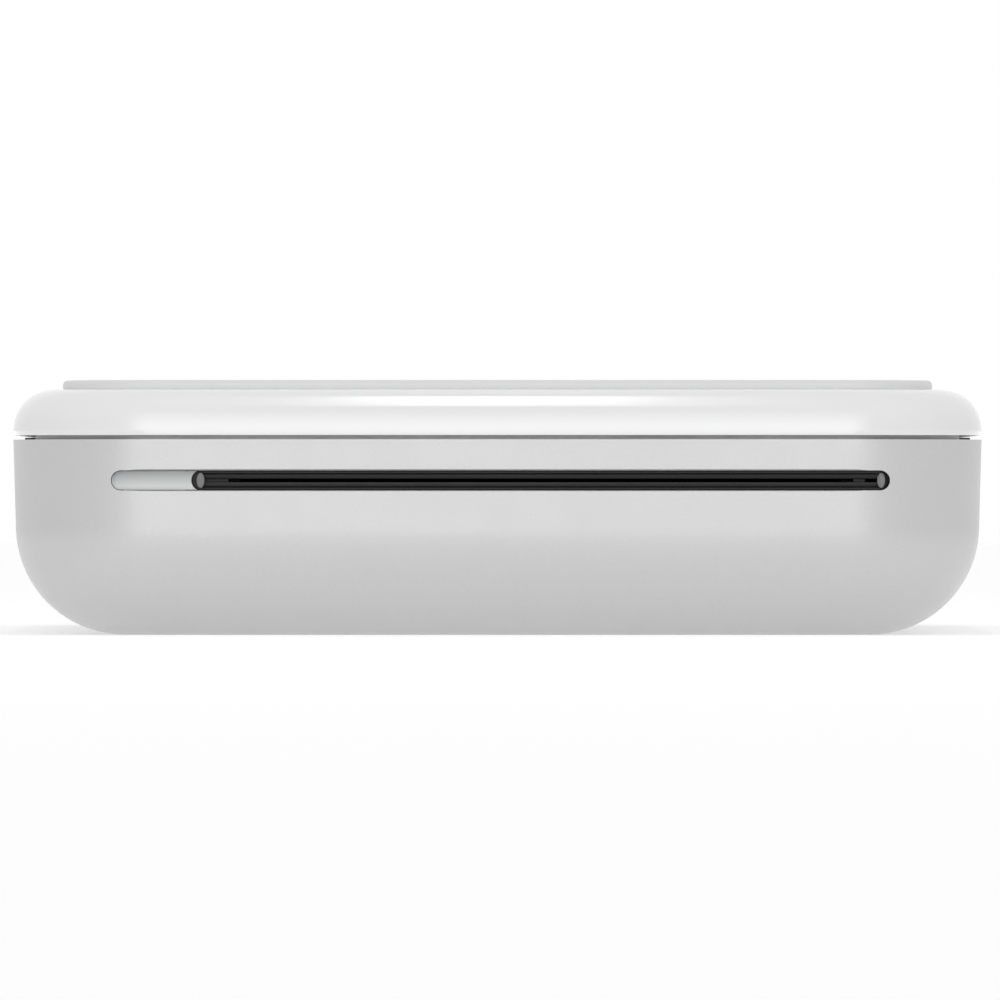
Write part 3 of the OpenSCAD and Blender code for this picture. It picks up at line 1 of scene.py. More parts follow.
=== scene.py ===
"""Pocket photo printer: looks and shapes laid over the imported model, in its own frame and in metres."""
import json
import math
import bmesh
import bpy
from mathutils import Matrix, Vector


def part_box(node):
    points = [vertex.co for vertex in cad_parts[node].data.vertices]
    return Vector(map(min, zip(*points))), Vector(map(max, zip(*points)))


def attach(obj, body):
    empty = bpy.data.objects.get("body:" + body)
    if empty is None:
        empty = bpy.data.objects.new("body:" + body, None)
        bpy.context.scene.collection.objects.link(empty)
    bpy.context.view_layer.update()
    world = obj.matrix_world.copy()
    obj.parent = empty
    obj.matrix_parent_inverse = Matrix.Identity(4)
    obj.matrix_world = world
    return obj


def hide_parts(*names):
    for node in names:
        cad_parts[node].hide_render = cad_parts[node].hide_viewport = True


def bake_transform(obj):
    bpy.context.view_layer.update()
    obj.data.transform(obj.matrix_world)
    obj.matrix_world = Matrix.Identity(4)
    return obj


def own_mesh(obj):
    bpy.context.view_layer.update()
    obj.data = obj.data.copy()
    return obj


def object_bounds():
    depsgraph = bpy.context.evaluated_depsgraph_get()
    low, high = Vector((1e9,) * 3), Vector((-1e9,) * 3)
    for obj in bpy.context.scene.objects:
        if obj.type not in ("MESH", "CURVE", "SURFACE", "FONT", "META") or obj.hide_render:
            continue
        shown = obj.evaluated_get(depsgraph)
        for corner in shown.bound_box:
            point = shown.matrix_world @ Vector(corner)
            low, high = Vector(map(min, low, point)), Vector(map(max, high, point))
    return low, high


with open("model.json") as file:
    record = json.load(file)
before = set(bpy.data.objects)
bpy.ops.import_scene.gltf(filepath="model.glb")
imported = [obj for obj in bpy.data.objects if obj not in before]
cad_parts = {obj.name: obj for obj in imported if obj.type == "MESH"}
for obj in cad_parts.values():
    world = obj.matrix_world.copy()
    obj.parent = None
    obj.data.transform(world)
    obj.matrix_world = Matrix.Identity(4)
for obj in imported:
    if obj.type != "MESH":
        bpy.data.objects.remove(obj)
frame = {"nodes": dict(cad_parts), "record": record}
cad_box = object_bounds()

# ---------------------------------------------------------------- Table, light and camera
# A small product on a seamless pale table, in a white tent that is brighter ahead of it, with one
# narrow lamp overhead. The camera stands low and far off, square to the end with the exit slot.
bpy.context.scene.view_settings.view_transform = "Standard"


def deselect():
    """Nothing stays selected, so that the next operator acts on its own object alone."""
    if bpy.context.object and bpy.context.object.mode != "OBJECT":
        bpy.ops.object.mode_set(mode="OBJECT")
    bpy.ops.object.select_all(action="DESELECT")


def use(obj):
    """Makes one object the selected and active one."""
    deselect()
    obj.select_set(True)
    bpy.context.view_layer.objects.active = obj


def settle(obj):
    """Moves an object's place into its mesh, so that it ends at the origin, unturned and unscaled."""
    use(obj)
    bpy.ops.object.transform_apply(location=True, rotation=True, scale=True)
    return obj


deselect()
bpy.ops.mesh.primitive_plane_add(size=6, location=(0, 0, 0))
table = bpy.context.object
table.name = "table"
table_skin = bpy.data.materials.new("pale_table")
table_skin.use_nodes = True
tree = table_skin.node_tree
table_shader = tree.nodes["Principled BSDF"]
table_shader.inputs["Roughness"].default_value = 0.9
table_shader.inputs["Specular IOR Level"].default_value = 0.1
table_mottle = tree.nodes.new("ShaderNodeTexNoise")
table_mottle.inputs["Scale"].default_value = 3.0
table_tone = tree.nodes.new("ShaderNodeMapRange")
table_tone.inputs["To Min"].default_value = 0.93
table_tone.inputs["To Max"].default_value = 0.95
tree.links.new(table_mottle.outputs["Fac"], table_tone.inputs["Value"])
tree.links.new(table_tone.outputs["Result"], table_shader.inputs["Base Color"])


def ray_level(tree, direct, seen, mirrored):
    """A strength for what lights the object, one for what the camera sees, and one for metal and glass."""
    path = tree.nodes.new("ShaderNodeLightPath")
    level = direct
    rays = (("Is Glossy Ray", mirrored), ("Is Transmission Ray", mirrored), ("Is Camera Ray", seen))
    for ray, strength in rays:
        step = tree.nodes.new("ShaderNodeMix")
        tree.links.new(path.outputs[ray], step.inputs["Factor"])
        if isinstance(level, float):
            step.inputs["A"].default_value = level
        else:
            tree.links.new(level, step.inputs["A"])
        step.inputs["B"].default_value = strength
        level = step.outputs["Result"]
    return level


table_shader.inputs["Emission Color"].default_value = (1, 1, 1, 1)
table_level = ray_level(tree, direct=0.0, seen=0.36, mirrored=0.76)
tree.links.new(table_level, table_shader.inputs["Emission Strength"])
table.data.materials.append(table_skin)

# The tent: even all round, and stronger towards the front, where it fades out along each axis
tent_level = 0.58
softbox_level = 2.5
softbox_fades = (("X", 0.03, 0.36), ("Z", 0.15, 0.95), ("Y", -0.75, -0.3))
world = bpy.data.worlds.new("white_tent")
bpy.context.scene.world = world
world.use_nodes = True
tent = world.node_tree.nodes["Background"]
tent.inputs["Color"].default_value = (1, 1, 1, 1)
tree = world.node_tree
compass = tree.nodes.new("ShaderNodeSeparateXYZ")
tree.links.new(tree.nodes.new("ShaderNodeTexCoord").outputs["Generated"], compass.inputs[0])
softbox = None
for axis, full_at, gone_at in softbox_fades:
    fade = tree.nodes.new("ShaderNodeMapRange")
    fade.interpolation_type = "SMOOTHSTEP"
    fade.inputs["From Min"].default_value = full_at
    fade.inputs["From Max"].default_value = gone_at
    fade.inputs["To Min"].default_value = 1.0
    fade.inputs["To Max"].default_value = 0.0
    across = tree.nodes.new("ShaderNodeMath")
    across.operation = "ABSOLUTE" if axis == "X" else "ADD"
    across.inputs[1].default_value = 0.0
    tree.links.new(compass.outputs[axis], across.inputs[0])
    tree.links.new(across.outputs[0], fade.inputs["Value"])
    both = tree.nodes.new("ShaderNodeMath")
    both.operation = "MULTIPLY"
    tree.links.new(fade.outputs["Result"], both.inputs[0])
    both.inputs[1].default_value = softbox_level if softbox is None else 1.0
    if softbox is not None:
        tree.links.new(softbox, both.inputs[1])
    softbox = both.outputs[0]
total = tree.nodes.new("ShaderNodeMath")
total.operation = "ADD"
tree.links.new(ray_level(tree, direct=tent_level, seen=1.0, mirrored=1.0), total.inputs[0])
tree.links.new(softbox, total.inputs[1])
tree.links.new(total.outputs[0], tent.inputs["Strength"])

# The strip lamp, whose reflection draws the bright line along the cover's front edge
strip_place, strip_aim = Vector((0, -0.055, 0.52)), Vector((0, -0.055, 0.02))
strip_wide, strip_long, strip_watts = 0.036, 0.34, 0.16
deselect()
bpy.ops.object.light_add(type="AREA", location=strip_place)
strip = bpy.context.object
strip.name = "strip"
strip.data.shape = "RECTANGLE"
strip.data.size = strip_wide
strip.data.size_y = strip_long
strip.data.energy = strip_watts
strip.rotation_euler = (strip_aim - strip_place).to_track_quat("-Z", "Y").to_euler()

# The camera: the body's width, middle and foot fall on the same pixels as in the photograph
photo_px = 1000
body_px = 968
body_mid_px = 497.5
body_bottom_px = 634.5
camera_distance = 1.5
widest_y = -0.049
film_wide = 36
body_low, body_high = Vector(cad_box[0]), Vector(cad_box[1])
frame_wide = (body_high.x - body_low.x) * photo_px / body_px
eye_z = (body_bottom_px - photo_px / 2) / photo_px * frame_wide
deselect()
bpy.ops.object.camera_add(location=(0, -camera_distance, eye_z), rotation=(math.radians(90), 0, 0))
camera = bpy.context.object
camera.name = "camera"
camera.data.sensor_width = film_wide
camera.data.lens = film_wide * (camera_distance + widest_y) / frame_wide
camera.data.shift_x = (photo_px / 2 - body_mid_px) / photo_px
camera.data.clip_end = 20
bpy.context.scene.camera = camera

# ---------------------------------------------------------------- Case
# Injection-moulded shell in satin silver-white paint: a shallow tub with a broad round lower edge,
# the exit slot's pill through its front, and the openings of the button and the socket at the rear.
MM = 0.001
rim_z = 16.9 * MM
parting_drop = 0.2 * MM
nip_z = 13.2 * MM
rear_z = 9.6 * MM
front_y = body_low.y
rear_y = body_high.y
body_w = body_high.x - body_low.x
body_l = rear_y - front_y
corner_r = 11.5 * MM
case_edge_r = 9 * MM
case_lean = 0.45 * MM
case_wall = 1.4 * MM
case_floor = 1.6 * MM
TURNS = {"X": (math.radians(90), 0, math.radians(90)), "Y": (math.radians(90), 0, 0), "Z": (0, 0, 0)}
AWAY = {"X": Vector((1, 0, 0)), "Y": Vector((0, 1, 0)), "Z": Vector((0, 0, 1))}


def pick(obj, kind, test):
    """Selects, in edit mode, the vertices, edges or faces whose every corner passes the test."""
    bpy.ops.mesh.select_mode(type=kind)
    bpy.ops.mesh.select_all(action="DESELECT")
    mesh = bmesh.from_edit_mesh(obj.data)
    parts = {"VERT": mesh.verts, "EDGE": mesh.edges, "FACE": mesh.faces}[kind]
    for part in parts:
        corners = [part] if kind == "VERT" else part.verts
        part.select = all(test(corner.co) for corner in corners)
    mesh.select_flush(kind != "FACE")
    bmesh.update_edit_mesh(obj.data)


def slab(name, middle, wide, high, corner, facing, depth, segments=20):
    """A plate with round corners: a plane of that size, its corners bevelled, extruded along facing."""
    deselect()
    bpy.ops.mesh.primitive_plane_add(size=1, location=middle, rotation=TURNS[facing])
    obj = bpy.context.object
    obj.name = name
    obj.scale = (wide, high, 1)
    bpy.ops.object.transform_apply(location=True, rotation=True, scale=True)
    bpy.ops.object.mode_set(mode="EDIT")
    bpy.ops.mesh.select_all(action="SELECT")
    if corner > 0:
        bpy.ops.mesh.bevel(affect="VERTICES", offset=corner, segments=segments, profile=0.5,
                           clamp_overlap=False)
        bpy.ops.mesh.remove_doubles(threshold=1e-7)
        bpy.ops.mesh.select_all(action="SELECT")
    bpy.ops.mesh.extrude_region_move(TRANSFORM_OT_translate={"value": AWAY[facing] * depth})
    bpy.ops.mesh.select_all(action="SELECT")
    bpy.ops.mesh.normals_make_consistent(inside=False)
    bpy.ops.object.mode_set(mode="OBJECT")
    return obj


def round_edges(obj, width, segments, test):
    """Bevels the edges whose ends both pass the test."""
    use(obj)
    bpy.ops.object.mode_set(mode="EDIT")
    pick(obj, "EDGE", test)
    bpy.ops.mesh.bevel(affect="EDGES", offset=width, segments=segments, profile=0.5,
                       clamp_overlap=False)
    bpy.ops.object.mode_set(mode="OBJECT")
    return obj


def carve(obj, tool, how="DIFFERENCE"):
    """Cuts a tool out of a piece, or joins it on, and does away with the tool."""
    use(obj)
    change = obj.modifiers.new("carve", "BOOLEAN")
    change.operation = how
    change.solver = "EXACT"
    change.object = tool
    bpy.ops.object.modifier_apply(modifier=change.name)
    bpy.data.objects.remove(tool)
    return obj


def mark_faces(obj, label, values):
    """Stores one number a face under a label that a material can read."""
    mark = obj.data.attributes.get(label) or obj.data.attributes.new(label, "FLOAT", "FACE")
    mark.data.foreach_set("value", values)


def soften(obj, width, segments=2, angle=30):
    """Takes the sharpness off a piece's edges, marks them for edge wear and painted edge light, and shades
    the rest smooth.
    """
    use(obj)
    if width > 0:
        for _ in range(2 - len(obj.data.materials)):
            obj.data.materials.append(None)
        edge = obj.modifiers.new("soft_edges", "BEVEL")
        edge.width = width
        edge.segments = segments
        edge.limit_method = "ANGLE"
        edge.angle_limit = math.radians(angle)
        edge.harden_normals = False
        edge.material = 1
        bpy.ops.object.modifier_apply(modifier=edge.name)
        mark_faces(obj, "edge", [float(face.material_index == 1) for face in obj.data.polygons])
        for face in obj.data.polygons:
            face.material_index = 0
    bpy.ops.object.shade_smooth_by_angle(angle=math.radians(angle))
    even = obj.modifiers.new("even_shading", "WEIGHTED_NORMAL")
    even.keep_sharp = True
    bpy.ops.object.modifier_apply(modifier=even.name)
    return obj


def wear(obj, material):
    """Gives a piece one material in place of what it has."""
    obj.data.materials.clear()
    obj.data.materials.append(material)
    obj.data.polygons.foreach_set("material_index", [0] * len(obj.data.polygons))


def finish_piece(obj, body, slot, material, *stands_for):
    """Settles a new piece, dresses it, fixes it to its body, and hides the model's nodes that it stands for.
    """
    settle(obj)
    wear(obj, material)
    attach(obj, body)
    if stands_for:
        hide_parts(*stands_for)
    return obj


def new_group(name, inputs, outputs):
    """An empty shader node group with named sockets: inputs map a name to its kind and default."""
    group = bpy.data.node_groups.new(name, "ShaderNodeTree")
    for socket, (kind, value) in inputs.items():
        made = group.interface.new_socket(name=socket, in_out="INPUT", socket_type="NodeSocket" + kind)
        made.default_value = value
    for socket, kind in outputs.items():
        group.interface.new_socket(name=socket, in_out="OUTPUT", socket_type="NodeSocket" + kind)
    return group, group.nodes.new("NodeGroupInput"), group.nodes.new("NodeGroupOutput")


def noise(tree, place, scale, detail=3.0, rough=0.5):
    """A noise texture on the given coordinates; scale is a number or a socket."""
    made = tree.nodes.new("ShaderNodeTexNoise")
    made.inputs["Detail"].default_value = detail
    made.inputs["Roughness"].default_value = rough
    tree.links.new(place, made.inputs["Vector"])
    if isinstance(scale, (int, float)):
        made.inputs["Scale"].default_value = scale
    else:
        tree.links.new(scale, made.inputs["Scale"])
    return made.outputs["Fac"]


def sums(tree, how, a, b, c=None):
    """One math node on numbers or sockets."""
    made = tree.nodes.new("ShaderNodeMath")
    made.operation = how
    for index, value in enumerate((a, b, c)):
        if value is None:
            continue
        if isinstance(value, (int, float)):
            made.inputs[index].default_value = value
        else:
            tree.links.new(value, made.inputs[index])
    return made.outputs[0]


def ranged(tree, value, low, high, to_low, to_high):
    """Maps a value from one range to another, clamped."""
    made = tree.nodes.new("ShaderNodeMapRange")
    for index, item in enumerate((value, low, high, to_low, to_high)):
        if isinstance(item, (int, float)):
            made.inputs[index].default_value = item
        else:
            tree.links.new(item, made.inputs[index])
    return made.outputs["Result"]


def blended(tree, how, amount, a, b):
    """Mixes two colours, each a colour or a socket."""
    made = tree.nodes.new("ShaderNodeMix")
    made.data_type = "RGBA"
    made.blend_type = how
    for index, item in ((0, amount), (6, a), (7, b)):
        if isinstance(item, (int, float, tuple)):
            made.inputs[index].default_value = item
        else:
            tree.links.new(item, made.inputs[index])
    return made.outputs[2]


# Worked surface: a mottled or streaked colour, a fine grain, hand marks that change the gloss, and edges
# that take another tone: rubbed wear on most finishes, a painted highlight or painted shade on some. Every
# finish on the object starts from it.
skin, skin_in, skin_out = new_group(
    "worked_surface",
    {"Colour": ("Color", (0.8, 0.8, 0.8, 1)), "Mottle": ("Float", 0.03), "Grain Scale": ("Float", 2500.0),
     "Stretch": ("Vector", (1, 1, 1)), "Streak": ("Float", 0.0), "Gloss Low": ("Float", 0.3),
     "Gloss High": ("Float", 0.4), "Dust": ("Float", 0.05), "Edge Tone": ("Color", (0.8, 0.8, 0.8, 1)),
     "Edge Wear": ("Float", 0.0)},
    {"Colour": "Color", "Roughness": "Float", "Height": "Float"})
spot = skin.nodes.new("ShaderNodeTexCoord").outputs["Object"]
drawn = skin.nodes.new("ShaderNodeVectorMath")
drawn.operation = "MULTIPLY"
skin.links.new(spot, drawn.inputs[0])
skin.links.new(skin_in.outputs["Stretch"], drawn.inputs[1])
broad = noise(skin, spot, 45.0, 4.0)
grain = noise(skin, drawn.outputs[0], skin_in.outputs["Grain Scale"], 2.0, 0.6)
marks = noise(skin, spot, 260.0, 6.0, 0.7)
shade = sums(skin, "ADD", 1.0, sums(skin, "MULTIPLY", sums(skin, "SUBTRACT", broad, 0.5),
                                    sums(skin, "MULTIPLY", skin_in.outputs["Mottle"], 2.0)))
shade = sums(skin, "ADD", shade, sums(skin, "MULTIPLY", sums(skin, "SUBTRACT", grain, 0.5),
                                      skin_in.outputs["Streak"]))
tone = skin.nodes.new("ShaderNodeCombineColor")
for channel in range(3):
    skin.links.new(shade, tone.inputs[channel])
toned = blended(skin, "MULTIPLY", 1.0, skin_in.outputs["Colour"], tone.outputs[0])
rounded = skin.nodes.new("ShaderNodeAttribute")
rounded.attribute_name = "edge"
# Edge mark: rubbed wear on most finishes, a painted highlight on the case, painted shade on the windows
edge_wear_and_light_mix = sums(skin, "MULTIPLY", sums(skin, "MULTIPLY", rounded.outputs["Fac"], skin_in.outputs["Edge Wear"]),
              ranged(skin, marks, 0.42, 0.6, 0.15, 1.0))
toned = blended(skin, "MIX", edge_wear_and_light_mix, toned, skin_in.outputs["Edge Tone"])
dusty = ranged(skin, marks, 0.58, 0.72, 0.0, skin_in.outputs["Dust"])
skin.links.new(blended(skin, "MIX", dusty, toned, (0.55, 0.54, 0.52, 1)), skin_out.inputs["Colour"])
handled = ranged(skin, sums(skin, "MULTIPLY", sums(skin, "ADD", broad, marks), 0.5), 0.35, 0.65,
                 skin_in.outputs["Gloss Low"], skin_in.outputs["Gloss High"])
skin.links.new(handled, skin_out.inputs["Roughness"])
skin.links.new(grain, skin_out.inputs["Height"])


def surface(name, colour, mottle=0.03, grain=2500.0, stretch=(1, 1, 1), streak=0.0, gloss=(0.3, 0.4),
            dust=0.04, bump=0.05, metal=0.0, coat=0.0, edge_tone=None, edge_wear_and_light=0.0):
    """A finish on the worked surface. Bump is the grain's height in hundredths of a millimetre."""
    made = bpy.data.materials.new(name)
    made.use_nodes = True
    tree = made.node_tree
    shader = tree.nodes["Principled BSDF"]
    look = tree.nodes.new("ShaderNodeGroup")
    look.node_tree = skin
    look.name = "look"
    values = {"Colour": (*colour, 1), "Mottle": mottle, "Grain Scale": grain, "Stretch": stretch,
              "Streak": streak, "Gloss Low": gloss[0], "Gloss High": gloss[1], "Dust": dust,
              "Edge Tone": (*(edge_tone or colour), 1), "Edge Wear": edge_wear_and_light}
    for socket, value in values.items():
        look.inputs[socket].default_value = value
    tree.links.new(look.outputs["Colour"], shader.inputs["Base Color"])
    tree.links.new(look.outputs["Roughness"], shader.inputs["Roughness"])
    relief = tree.nodes.new("ShaderNodeBump")
    relief.name = "relief"
    relief.inputs["Distance"].default_value = bump * 0.01 * MM
    tree.links.new(look.outputs["Height"], relief.inputs["Height"])
    tree.links.new(relief.outputs["Normal"], shader.inputs["Normal"])
    shader.inputs["Coat Weight"].default_value = coat
    shader.inputs["Coat Roughness"].default_value = 0.08
    shader.inputs["Metallic"].default_value = metal
    return made


def paint_over(material, mask, colour, roughness=None):
    """Lays a colour, and a roughness where one is given, over a finish wherever the mask is 1."""
    tree = material.node_tree
    shader = tree.nodes["Principled BSDF"]
    base = shader.inputs["Base Color"].links[0].from_socket
    tree.links.new(blended(tree, "MIX", mask, base, colour), shader.inputs["Base Color"])
    if roughness is not None:
        base = shader.inputs["Roughness"].links[0].from_socket
        dull = sums(tree, "MULTIPLY", base, sums(tree, "SUBTRACT", 1.0, mask))
        tree.links.new(sums(tree, "MULTIPLY_ADD", mask, roughness, dull), shader.inputs["Roughness"])
    return material


def face_mask(material, label):
    """The number that a piece's faces carry under a label."""
    made = material.node_tree.nodes.new("ShaderNodeAttribute")
    made.attribute_name = label
    return made.outputs["Fac"]


def outline(name, inset, from_z, to_z):
    """A slab in the case's outline drawn in by inset, from one height to another."""
    return slab(name, (0, 0, from_z), body_w - 2 * inset, body_l - 2 * inset, corner_r - inset, "Z",
                to_z - from_z, wall_steps)


def tub(name, inset, low_z, top_z):
    """The case's form drawn in by inset: a plane at the rim, extruded down, leaned in, its edge rounded."""
    obj = outline(name, inset, top_z, low_z)
    use(obj)
    bpy.ops.object.mode_set(mode="EDIT")
    pick(obj, "FACE", lambda co: abs(co.z - low_z) < 1e-6)
    bpy.ops.transform.resize(value=(1 - 2 * case_lean / body_w, 1 - 2 * case_lean / body_l, 1),
                             center_override=(0, 0, low_z))
    bpy.ops.object.mode_set(mode="OBJECT")
    return round_edges(obj, case_edge_r - inset, case_edge_steps, lambda co: abs(co.z - low_z) < 1e-6)


slot_w, slot_h, cheek_w, light_w = 57.6 * MM, 1.7 * MM, 0.9 * MM, 6.9 * MM
path_x = 3.7 * MM
slot_left, slot_right = path_x - slot_w / 2, path_x + slot_w / 2
guide_left, guide_right = slot_left - cheek_w, slot_right + cheek_w
window_left = guide_left - light_w
button_x, button_w, button_h, button_gap = 17 * MM, 9 * MM, 3.4 * MM, 0.15 * MM
inlet_x, inlet_w, inlet_h, inlet_corner = -8 * MM, 8.4 * MM, 3.6 * MM, MM
charge_x, reset_x, pin_hole_w = -17 * MM, -23 * MM, 1.4 * MM
rear_cut_y = rear_y - 3 * MM
cut_depth = 4.5 * MM
wall_steps, cut_steps, case_edge_steps = 28, 12, 22
# A pill's corners stop just short of half its height, so that two of them never meet in one point
pill = 0.999

case = tub("case_shell", 0, 0, rim_z - parting_drop)
carve(case, tub("hollow", case_wall, case_floor, rim_z + MM))
mouth_x, pill_w = (window_left + guide_right) / 2, guide_right - window_left
cutters = (
    ("slot", mouth_x, nip_z, pill_w, slot_h, slot_h / 2, front_y - MM),
    ("button", button_x, rear_z, button_w + 2 * button_gap, button_h + 2 * button_gap,
     button_h / 2 + button_gap, rear_cut_y),
    ("inlet", inlet_x, rear_z, inlet_w, inlet_h, inlet_corner, rear_cut_y),
    ("charge", charge_x, rear_z, pin_hole_w, pin_hole_w, pin_hole_w / 2, rear_cut_y),
    ("reset", reset_x, rear_z, pin_hole_w, pin_hole_w, pin_hole_w / 2, rear_cut_y))
for label, x, z, wide, high, corner, y in cutters:
    carve(case, slab("cut_" + label, (x, y, z), wide, high, corner * pill, "Y", cut_depth, cut_steps))

# The slot's bevelled mouth: the pill again, larger at the face and drawn in towards the back
slot_bevel = 0.2 * MM
mouth_w, mouth_h = pill_w + 2 * slot_bevel, slot_h + 2 * slot_bevel
past_face = 0.01 * MM
mouth = slab("slot_mouth", (mouth_x, front_y - past_face, nip_z), mouth_w, mouth_h, mouth_h / 2 * pill,
             "Y", slot_bevel + past_face, cut_steps)
use(mouth)
bpy.ops.object.mode_set(mode="EDIT")
pick(mouth, "FACE", lambda co: co.y > front_y + slot_bevel / 2)
bpy.ops.transform.resize(value=(1 - 2 * slot_bevel / mouth_w, 1, slot_h / mouth_h),
                         center_override=(mouth_x, front_y + slot_bevel, nip_z))
bpy.ops.object.mode_set(mode="OBJECT")
carve(case, mouth)

# The light lip along the front, and the keepers that hold the cover's hooks, a pair in each third
rail_out, rail_in = body_w / 2 - 1.8 * MM, body_w / 2 - 2.8 * MM
lip_back = front_y + 11 * MM
high_lip_back = front_y + 9.8 * MM


def lip_band(outer, inner, low_z, high_z, back):
    """A band between two insets from the case's outline, along the front and round its corners."""
    band = carve(outline("lip", outer, low_z, high_z), outline("lip_hole", inner, low_z - MM, high_z + MM))
    return carve(band, slab("lip_rest", (0, (back + rear_y) / 2, low_z - MM), body_w, rear_y - back, 0, "Z",
                            high_z - low_z + 2 * MM))


carve(case, lip_band(outer=1.1 * MM, inner=2.7 * MM, low_z=rim_z - 1.5 * MM, high_z=rim_z - 0.3 * MM,
                     back=lip_back), "UNION")
carve(case, lip_band(outer=1.8 * MM, inner=2.4 * MM, low_z=rim_z - MM, high_z=rim_z + 1.1 * MM,
                     back=high_lip_back), "UNION")
hook_ramp = math.tan(math.radians(20))
keeper_l = 6 * MM
keeper_rows = [(side, y) for side in (-1, 1) for y in (front_y + 22 * MM, 0, rear_y - 22 * MM)]


def keeper(side, y):
    """A rib on the wall's inner side, whose underside slopes down towards the rear."""
    mid_x = side * (rail_in + body_w / 2 - case_wall / 2) / 2
    wide = body_w / 2 - case_wall / 2 - rail_in
    obj = slab("keeper", (mid_x, y + keeper_l / 2, rim_z - MM), wide, keeper_l, 0, "Z", MM)
    use(obj)
    bpy.ops.object.mode_set(mode="EDIT")
    pick(obj, "VERT", lambda co: co.z < rim_z - 0.5 * MM and co.y > y + keeper_l / 2)
    bpy.ops.transform.translate(value=(0, 0, -keeper_l * hook_ramp))
    bpy.ops.object.mode_set(mode="OBJECT")
    rail = slab("rail", (side * (rail_in + rail_out) / 2, y + keeper_l / 2, rim_z - 0.2 * MM),
                rail_out - rail_in, keeper_l, 0, "Z", 1.3 * MM)
    return carve(obj, rail, "UNION")


for side, y in keeper_rows:
    carve(case, keeper(side, y), "UNION")
soften(case, 0.12 * MM, angle=40)


def depth_inside(spot):
    """How far a point lies inside the case's outer skin."""
    drop = min(case_edge_r - min(spot.z, case_edge_r), case_edge_r)
    round_in = case_edge_r - math.sqrt(case_edge_r ** 2 - drop ** 2)
    reach = corner_r - case_lean * (1 - spot.z / rim_z) - round_in
    past = Vector((abs(spot.x) - body_w / 2 + corner_r, abs(spot.y) - body_l / 2 + corner_r))
    outside = Vector((max(past.x, 0), max(past.y, 0))).length + min(max(past.x, past.y), 0)
    return min(reach - outside, spot.z)


# The paint covers the outside and the lip; the inner faces are left in the bare dark plastic, whose darkness
# also serves as painted shade in the parting groove and inside the case
paint_reach = 0.75 * MM
inside = []
for face in case.data.polygons:
    on_lip = face.center.y < lip_back and face.center.z > rim_z - 0.5 * MM
    inside.append(float(not on_lip and depth_inside(face.center) > paint_reach))
mark_faces(case, "inside", inside)
case_metal = 0.68
# The bevelled edges take a paler tone: rubbed paint, and a painted highlight along the bevels, the slot
# mouth's among them
case_paint = surface("case_paint", (0.51, 0.51, 0.515), mottle=0.012, grain=5200.0, streak=0.1,
                     gloss=(0.4, 0.46), dust=0.0, bump=0.12, metal=case_metal, edge_tone=(0.85, 0.85, 0.85),
                     edge_wear_and_light=0.6)
# Dark bare plastic on the inner faces, which also serves as painted shade
paint_over(case_paint, face_mask(case_paint, "inside"), (0.11, 0.11, 0.115, 1), 0.6)
tree = case_paint.node_tree
painted = sums(tree, "SUBTRACT", 1.0, face_mask(case_paint, "inside"))
tree.links.new(sums(tree, "MULTIPLY", case_metal, painted), tree.nodes["Principled BSDF"].inputs["Metallic"])
finish_piece(case, "case", "case_silver", case_paint, "bottom_case")

# ---------------------------------------------------------------- Cover
# Glossy white moulding with a broad round upper edge; its hooks slide under the case's keepers, and
# the recess in its top takes the separate panel.
cover_z = 17.25 * MM
cover_h = 3.75 * MM
cover_edge_r = 3.5 * MM
cover_wall, cover_top_wall, cover_edge_steps = 1.4 * MM, 1.3 * MM, 14
shoulder_z = cover_z + cover_h
ceiling_z = shoulder_z - cover_top_wall
panel_margin = 4.25 * MM
panel_seat_depth, panel_seat_gap = 0.4 * MM, 0.05 * MM


def lid(name, inset, low_z, top_z, edge_r):
    """The cover's form drawn in by inset, with its upper edge rounded."""
    obj = outline(name, inset, low_z, top_z)
    return round_edges(obj, edge_r, cover_edge_steps, lambda co: abs(co.z - top_z) < 1e-6)


cover = lid("cover_shell", 0, cover_z - parting_drop, shoulder_z, cover_edge_r * 0.995)
carve(cover, lid("cover_hollow", cover_wall, cover_z - MM, ceiling_z, cover_edge_r - cover_wall))
carve(cover, outline("panel_seat", panel_margin - panel_seat_gap, shoulder_z - panel_seat_depth,
                     shoulder_z + MM))
hook_reach, hook_thick = 3 * MM, 0.9 * MM
hook_x = rail_in - 1.1 * MM
hook_top = rim_z - 1.15 * MM
hook_low = hook_top - hook_reach * hook_ramp - hook_thick


def hook(side, y):
    """A leg from the ceiling with a foot turned outwards, whose top slopes as the keeper's underside does."""
    leg = slab("hook", (side * (hook_x + hook_thick / 2), y, hook_low), hook_thick, 2 * hook_reach, 0, "Z",
               ceiling_z + 0.3 * MM - hook_low)
    foot_w = rail_out - 0.1 * MM - hook_x
    foot = slab("foot", (side * (hook_x + foot_w / 2), y, hook_low), foot_w, 2 * hook_reach, 0, "Z",
                hook_top - hook_low)
    use(foot)
    bpy.ops.object.mode_set(mode="EDIT")
    pick(foot, "VERT", lambda co: co.z > hook_top - 1e-6 and co.y > y)
    bpy.ops.transform.translate(value=(0, 0, -hook_reach * hook_ramp))
    bpy.ops.object.mode_set(mode="OBJECT")
    return carve(leg, foot, "UNION")


for side, y in keeper_rows:
    carve(cover, hook(side, y), "UNION")

